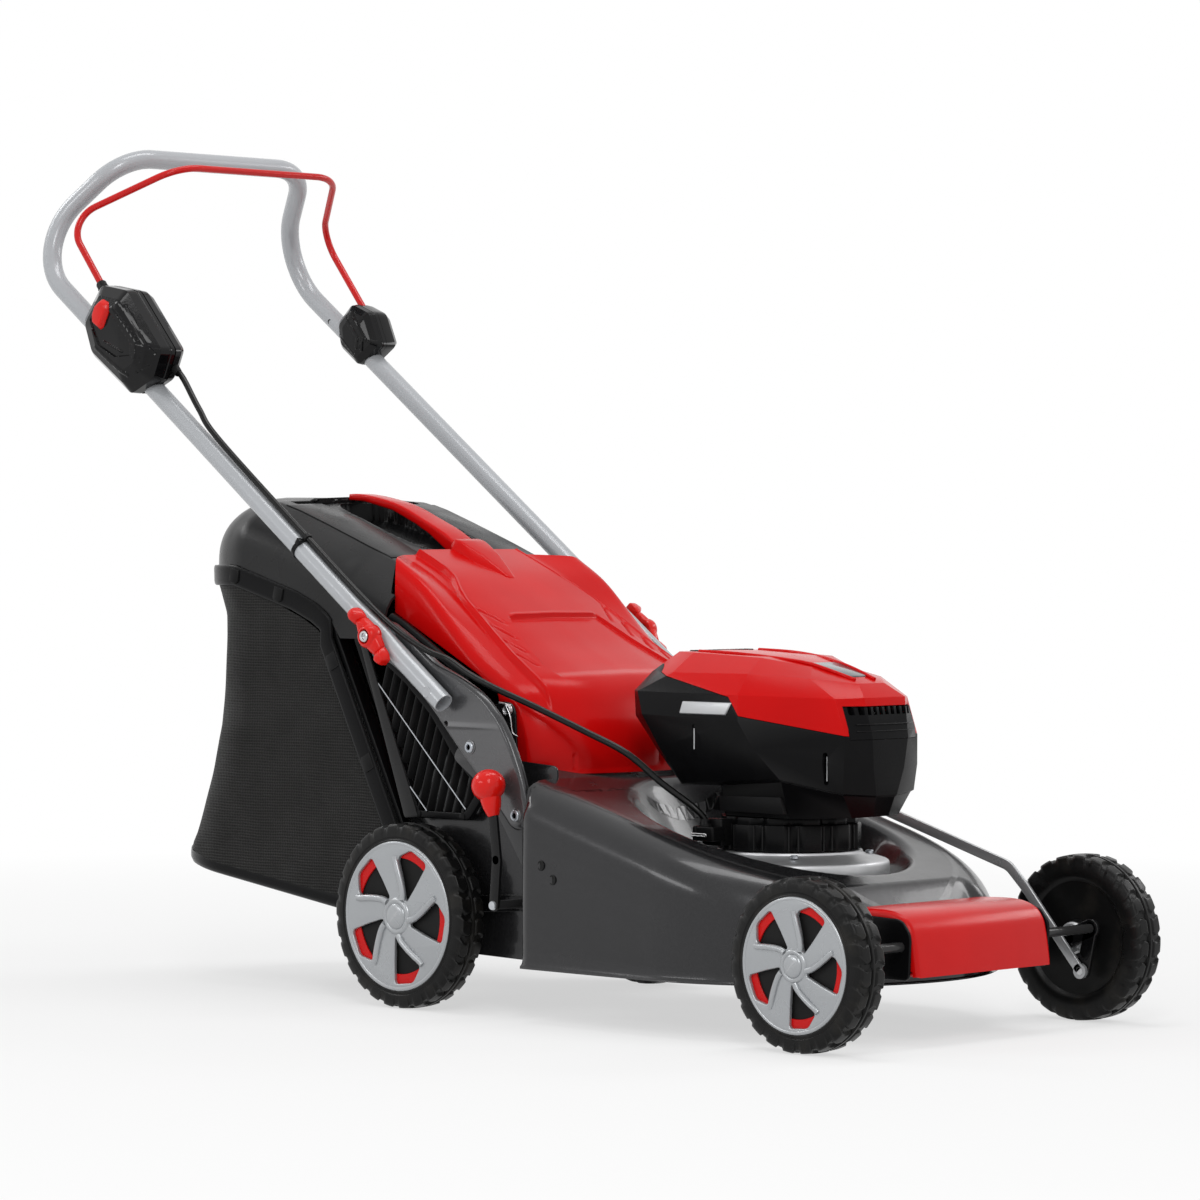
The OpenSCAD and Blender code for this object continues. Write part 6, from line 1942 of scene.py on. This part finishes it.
def flatBar(name, spots, r, low, high, look):
    # flat bar along spots with rounded bends
    line = rounded([(x, 0, z) for x, z in spots], [26] * (len(spots) - 2))
    left, right = [], []
    for i, p in enumerate(line):
        way = (line[min(i + 1, len(line) - 1)] - line[max(i - 1, 0)]).normalized()
        side = Vector((-way.z, 0, way.x))
        left.append((p.x + side.x * r, p.z + side.z * r))
        right.append((p.x - side.x * r, p.z - side.z * r))
    return platePiece(name, [left + right[::-1]], low, high, look, 1.2, 3)


linkStep = roundCorners([(230, 242.5), (241, 242.5), (241, 252.5), (230, 252.5)], 2)
linkParts = [flatBar("linkFront", linkFront, 5.5, 187, 191, "satinSilver"),
             flatBar("linkRear", linkRear, 5.5, 156.5, 160.5, "satinSilver"),
             platePiece("linkStep", [linkStep], 156.5, 191, "satinSilver", 1, 2),
             turnedPiece("linkEye", [(4.1, 0), (8, 0), (8, 4), (4.1, 4)], (618, 187, 54.5), (0, 1, 0),
                         "satinSilver", 32),
             turnedPiece("linkEye", [(4.5, 0), (8, 0), (8, 4), (4.5, 4)], (18, 156.5, 67), (0, 1, 0),
                         "satinSilver", 32)]
fit(joined("linkRod", linkParts), "link", "zinc_steel", "link_rod")
print("axles, lever and link made")

# flap rod and springs

hingeX, hingeZ = flap["hinge"]
rodParts = [tubePiece("rod", [(hingeX, -158, hingeZ), (hingeX, 158, hingeZ)], 4, "steelBright", 24)]
for s in (-1, 1):
    rodParts.append(turnedPiece("rodHead", [(0.05, 0), (6, 0), (5.2, 1.8), (0.05, 2.4)],
                                (hingeX, s * 157, hingeZ), (0, s, 0),
                                "steelBright", 32))
fit(joined("flapRod", rodParts), "chassis", "steel", "flap_rod")

springParts = []
for s in (-1, 1):  # coil round the rod, with one leg down to the deck and one on the flap
    coil = []
    for k in range(49):
        a = 2 * math.pi * k / 16 + math.pi / 2
        coil.append((hingeX + 5.4 * math.cos(a), s * (155.9 + 5.2 * k / 48), hingeZ + 5.4 * math.sin(a)))
    coil = [(104, s * 155.9, 331)] + coil + [(126, s * 161.1, 316), (128, s * 160, 300),
                                             (134, s * 158, 296)]
    springParts.append(tubePiece("coil", spline(coil, 3), 0.9, "steelBright", 12))
fit(joined("flapSprings", springParts), "chassis", "steel", "flap_springs")

# side louvres

louvre = {"line": [(-110, 398), (-18, 204), (70, 204), (98, 238), (58, 278), (20, 322), (-20, 356),
                   (-72, 392)],
          "hole": [(-92, 384), (-6, 212), (64, 212), (86, 238), (50, 270), (12, 316), (-26, 348),
                   (-76, 380)],
          "y": 162, "lean": math.radians(18), "step": 14}


def clipLine(p, d, outline):
    # the stretch of the line p + t d that lies inside an outline
    hits = []
    for (ax, ay), (bx, by) in zip(outline, outline[1:] + outline[:1]):
        ex, ey = bx - ax, by - ay
        det = d[0] * ey - d[1] * ex
        if abs(det) < 1e-9:
            continue
        t = ((ax - p[0]) * ey - (ay - p[1]) * ex) / det
        u = ((ax - p[0]) * d[1] - (ay - p[1]) * d[0]) / det
        if 0 <= u <= 1:
            hits.append(t)
    return (min(hits), max(hits)) if len(hits) > 1 else None


louvreParts = []
for s in (-1, 1):
    louvreParts.append(platePiece("louvreFrame", [roundCorners(louvre["line"], 6),
                                                  roundCorners(louvre["hole"], 4)], s * louvre["y"],
                                  s * (louvre["y"] + 8),
                                  "blackSatin", 1.4, 3))
    d = (math.sin(louvre["lean"]), math.cos(louvre["lean"]))
    for k in range(13):
        p = (-118 + k * louvre["step"] + 1.5, 180)
        cut = clipLine(p, d, louvre["hole"])
        if not cut:
            continue
        low = (p[0] + d[0] * (cut[0] - 3), p[1] + d[1] * (cut[0] - 3))
        high = (p[0] + d[0] * (cut[1] + 3), p[1] + d[1] * (cut[1] + 3))
        n = (d[1], -d[0])
        spots = []
        for x, z in (low, high):
            spots += [(x + n[0] * aside, s * y, z + n[1] * aside) for aside, y in
                      ((-1.2, 169.6), (1.0, 169.6), (4.6, 162.4), (2.6, 162.4))]
        louvreParts.append(hullPiece("fin", spots, "blackSatin", 0.6, 2))
    # bright steel wires across the opening, which also paint the bright dashes of highlight on the fin
    # ridges
    for h in (0, 62):
        d2 = (math.cos(math.radians(44)), -math.sin(math.radians(44)))
        p = (-150, 426 - h)
        cut = clipLine(p, d2, louvre["hole"])
        if cut:
            q = [(p[0] + d2[0] * t, s * 170.2, p[1] + d2[1] * t) for t in cut]
            louvreParts.append(tubePiece("tieWireHighlight", q, 0.8, "zincSteel", 10))
    for x, z in ((-6, 208), (62, 208), (93, 236)):
        louvreParts.append(platePiece("post", [ringOf(x, z, 4, 24)], s * 155.6, s * 171, "blackSatin", 0.6,
                                      2))
for s in (-1, 1):
    louvreParts.append(platePiece("louvreRail", [roundCorners([(-97, 392), (-85, 385), (-5, 205),
                                                               (-26, 203)], 3)], s * 169.5, s * 172,
                                  "coverGrey", 0.8, 2))
    beam = [(-52, s * 166, 419), (-34, s * 166, 411), (0, s * 166, 392), (36, s * 166, 371),
            (62, s * 166, 356)]
    louvreParts.append(tubePiece("beam", spline(beam, 5), 6.2, "blackSatin", 20))
fit(joined("sideLouvres", louvreParts), "chassis", "black_plastic", "side_louvres")
print("louvres made")

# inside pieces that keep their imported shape

inner = {"stator": "copper", "rotor": "steelBright", "spindle": "steelBright",
         "spindle_bearings": "steelBright",
         "blade_hub": "ironDark", "blade": "bladePaint", "blade_bolt": "zincSteel",
         "chassis_bolts": "zincSteel",
         "battery_pack": "packPlastic", "control_board": "boardGreen", "safety_key": "keyOrange",
         "lid_pins": "steelBright"}
for node, look in inner.items():
    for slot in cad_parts[node].material_slots:
        slot.material = finish[look]
print("inside finished:", len(inner))

# studio

studio = {"from": (3675.46, -3686.91, 519.35), "to": (102.6, 0, 438.7), "lens": 141.26, "sky": 0.5,
          "floor": (0.86, 0.86, 0.86), "shadowShare": 0.4}

floorMesh = bpy.data.meshes.new("floor")
floorMesh.from_pydata([(-14, -14, 0), (14, -14, 0), (14, 14, 0), (-14, 14, 0)], [], [(0, 1, 2, 3)])
floor = added("floor", floorMesh)


def seenRay(nodes, links):
    # 1 for rays from the lens, from mirrors and through glass
    rays = nodes.new("ShaderNodeLightPath")
    last = rays.outputs["Is Camera Ray"]
    for name in ("Is Glossy Ray", "Is Transmission Ray"):
        both = nodes.new("ShaderNodeMath")
        both.operation = "MAXIMUM"
        links.new(last, both.inputs[0])
        links.new(rays.outputs[name], both.inputs[1])
        last = both.outputs[0]
    return last


floorFinish = bpy.data.materials.new("floorFinish")
floorFinish.use_nodes = True
nodes, links = floorFinish.node_tree.nodes, floorFinish.node_tree.links
nodes.clear()
matt = nodes.new("ShaderNodeBsdfDiffuse")
matt.inputs["Color"].default_value = (*studio["floor"], 1)
white = nodes.new("ShaderNodeEmission")
white.inputs["Strength"].default_value = 1
spot = nodes.new("ShaderNodeTexCoord")  # the shadow shows near the mower and fades to white further out
far = nodes.new("ShaderNodeVectorMath")
far.operation = "LENGTH"
links.new(spot.outputs["Object"], far.inputs[0])
fade = nodes.new("ShaderNodeMapRange")
fade.inputs["From Min"].default_value = 0.7
fade.inputs["From Max"].default_value = 2.4
fade.inputs["To Min"].default_value = 1 - studio["shadowShare"]
fade.inputs["To Max"].default_value = 1
links.new(far.outputs["Value"], fade.inputs["Value"])
share = nodes.new("ShaderNodeMath")
share.operation = "MULTIPLY"
links.new(fade.outputs["Result"], share.inputs[1])
links.new(seenRay(nodes, links), share.inputs[0])
blend = nodes.new("ShaderNodeMixShader")
links.new(share.outputs[0], blend.inputs["Fac"])
links.new(matt.outputs[0], blend.inputs[1])
links.new(white.outputs[0], blend.inputs[2])
out = nodes.new("ShaderNodeOutputMaterial")
links.new(blend.outputs[0], out.inputs["Surface"])
floorMesh.materials.append(floorFinish)

world = bpy.data.worlds.new("world")
bpy.context.scene.world = world
world.use_nodes = True
nodes, links = world.node_tree.nodes, world.node_tree.links
sky = nodes["Background"]
sky.inputs["Color"].default_value = (1, 1, 1, 1)
level = nodes.new("ShaderNodeMapRange")
level.inputs["To Min"].default_value = studio["sky"]
level.inputs["To Max"].default_value = 1
links.new(seenRay(nodes, links), level.inputs["Value"])
links.new(level.outputs["Result"], sky.inputs["Strength"])

softBoxes = {"key": {"at": (2300, -2100, 2300), "size": (0.7, 1.4), "power": 26},
             "side": {"at": (-700, -2900, 1500), "size": (1.6, 0.4), "power": 12},
             "left": {"at": (1200, 2800, 1900), "size": (1.6, 0.5), "power": 14},
             "rear": {"at": (-2600, -900, 2200), "size": (1.6, 0.5), "power": 14},
             "top": {"at": (200, 300, 3000), "size": (0.6, 2.2), "power": 22}}
for name, box in softBoxes.items():
    lamp = bpy.data.lights.new(name, "AREA")
    lamp.shape = "RECTANGLE"
    lamp.size, lamp.size_y = box["size"]
    lamp.energy = box["power"]
    holder = added(name, lamp)
    holder.location = place(box["at"])
    holder.rotation_euler = (place((100, 0, 350)) - holder.location).to_track_quat("-Z", "Y").to_euler()

lens = bpy.data.cameras.new("camera")
lens.lens = studio["lens"]
lens.sensor_width = 36
lens.clip_end = 60
camera = added("camera", lens)
camera.location = place(studio["from"])
camera.rotation_euler = (place(studio["to"]) - camera.location).to_track_quat("-Z", "Y").to_euler()
bpy.context.scene.camera = camera
bpy.context.scene.view_settings.view_transform = "Standard"
print("studio made")
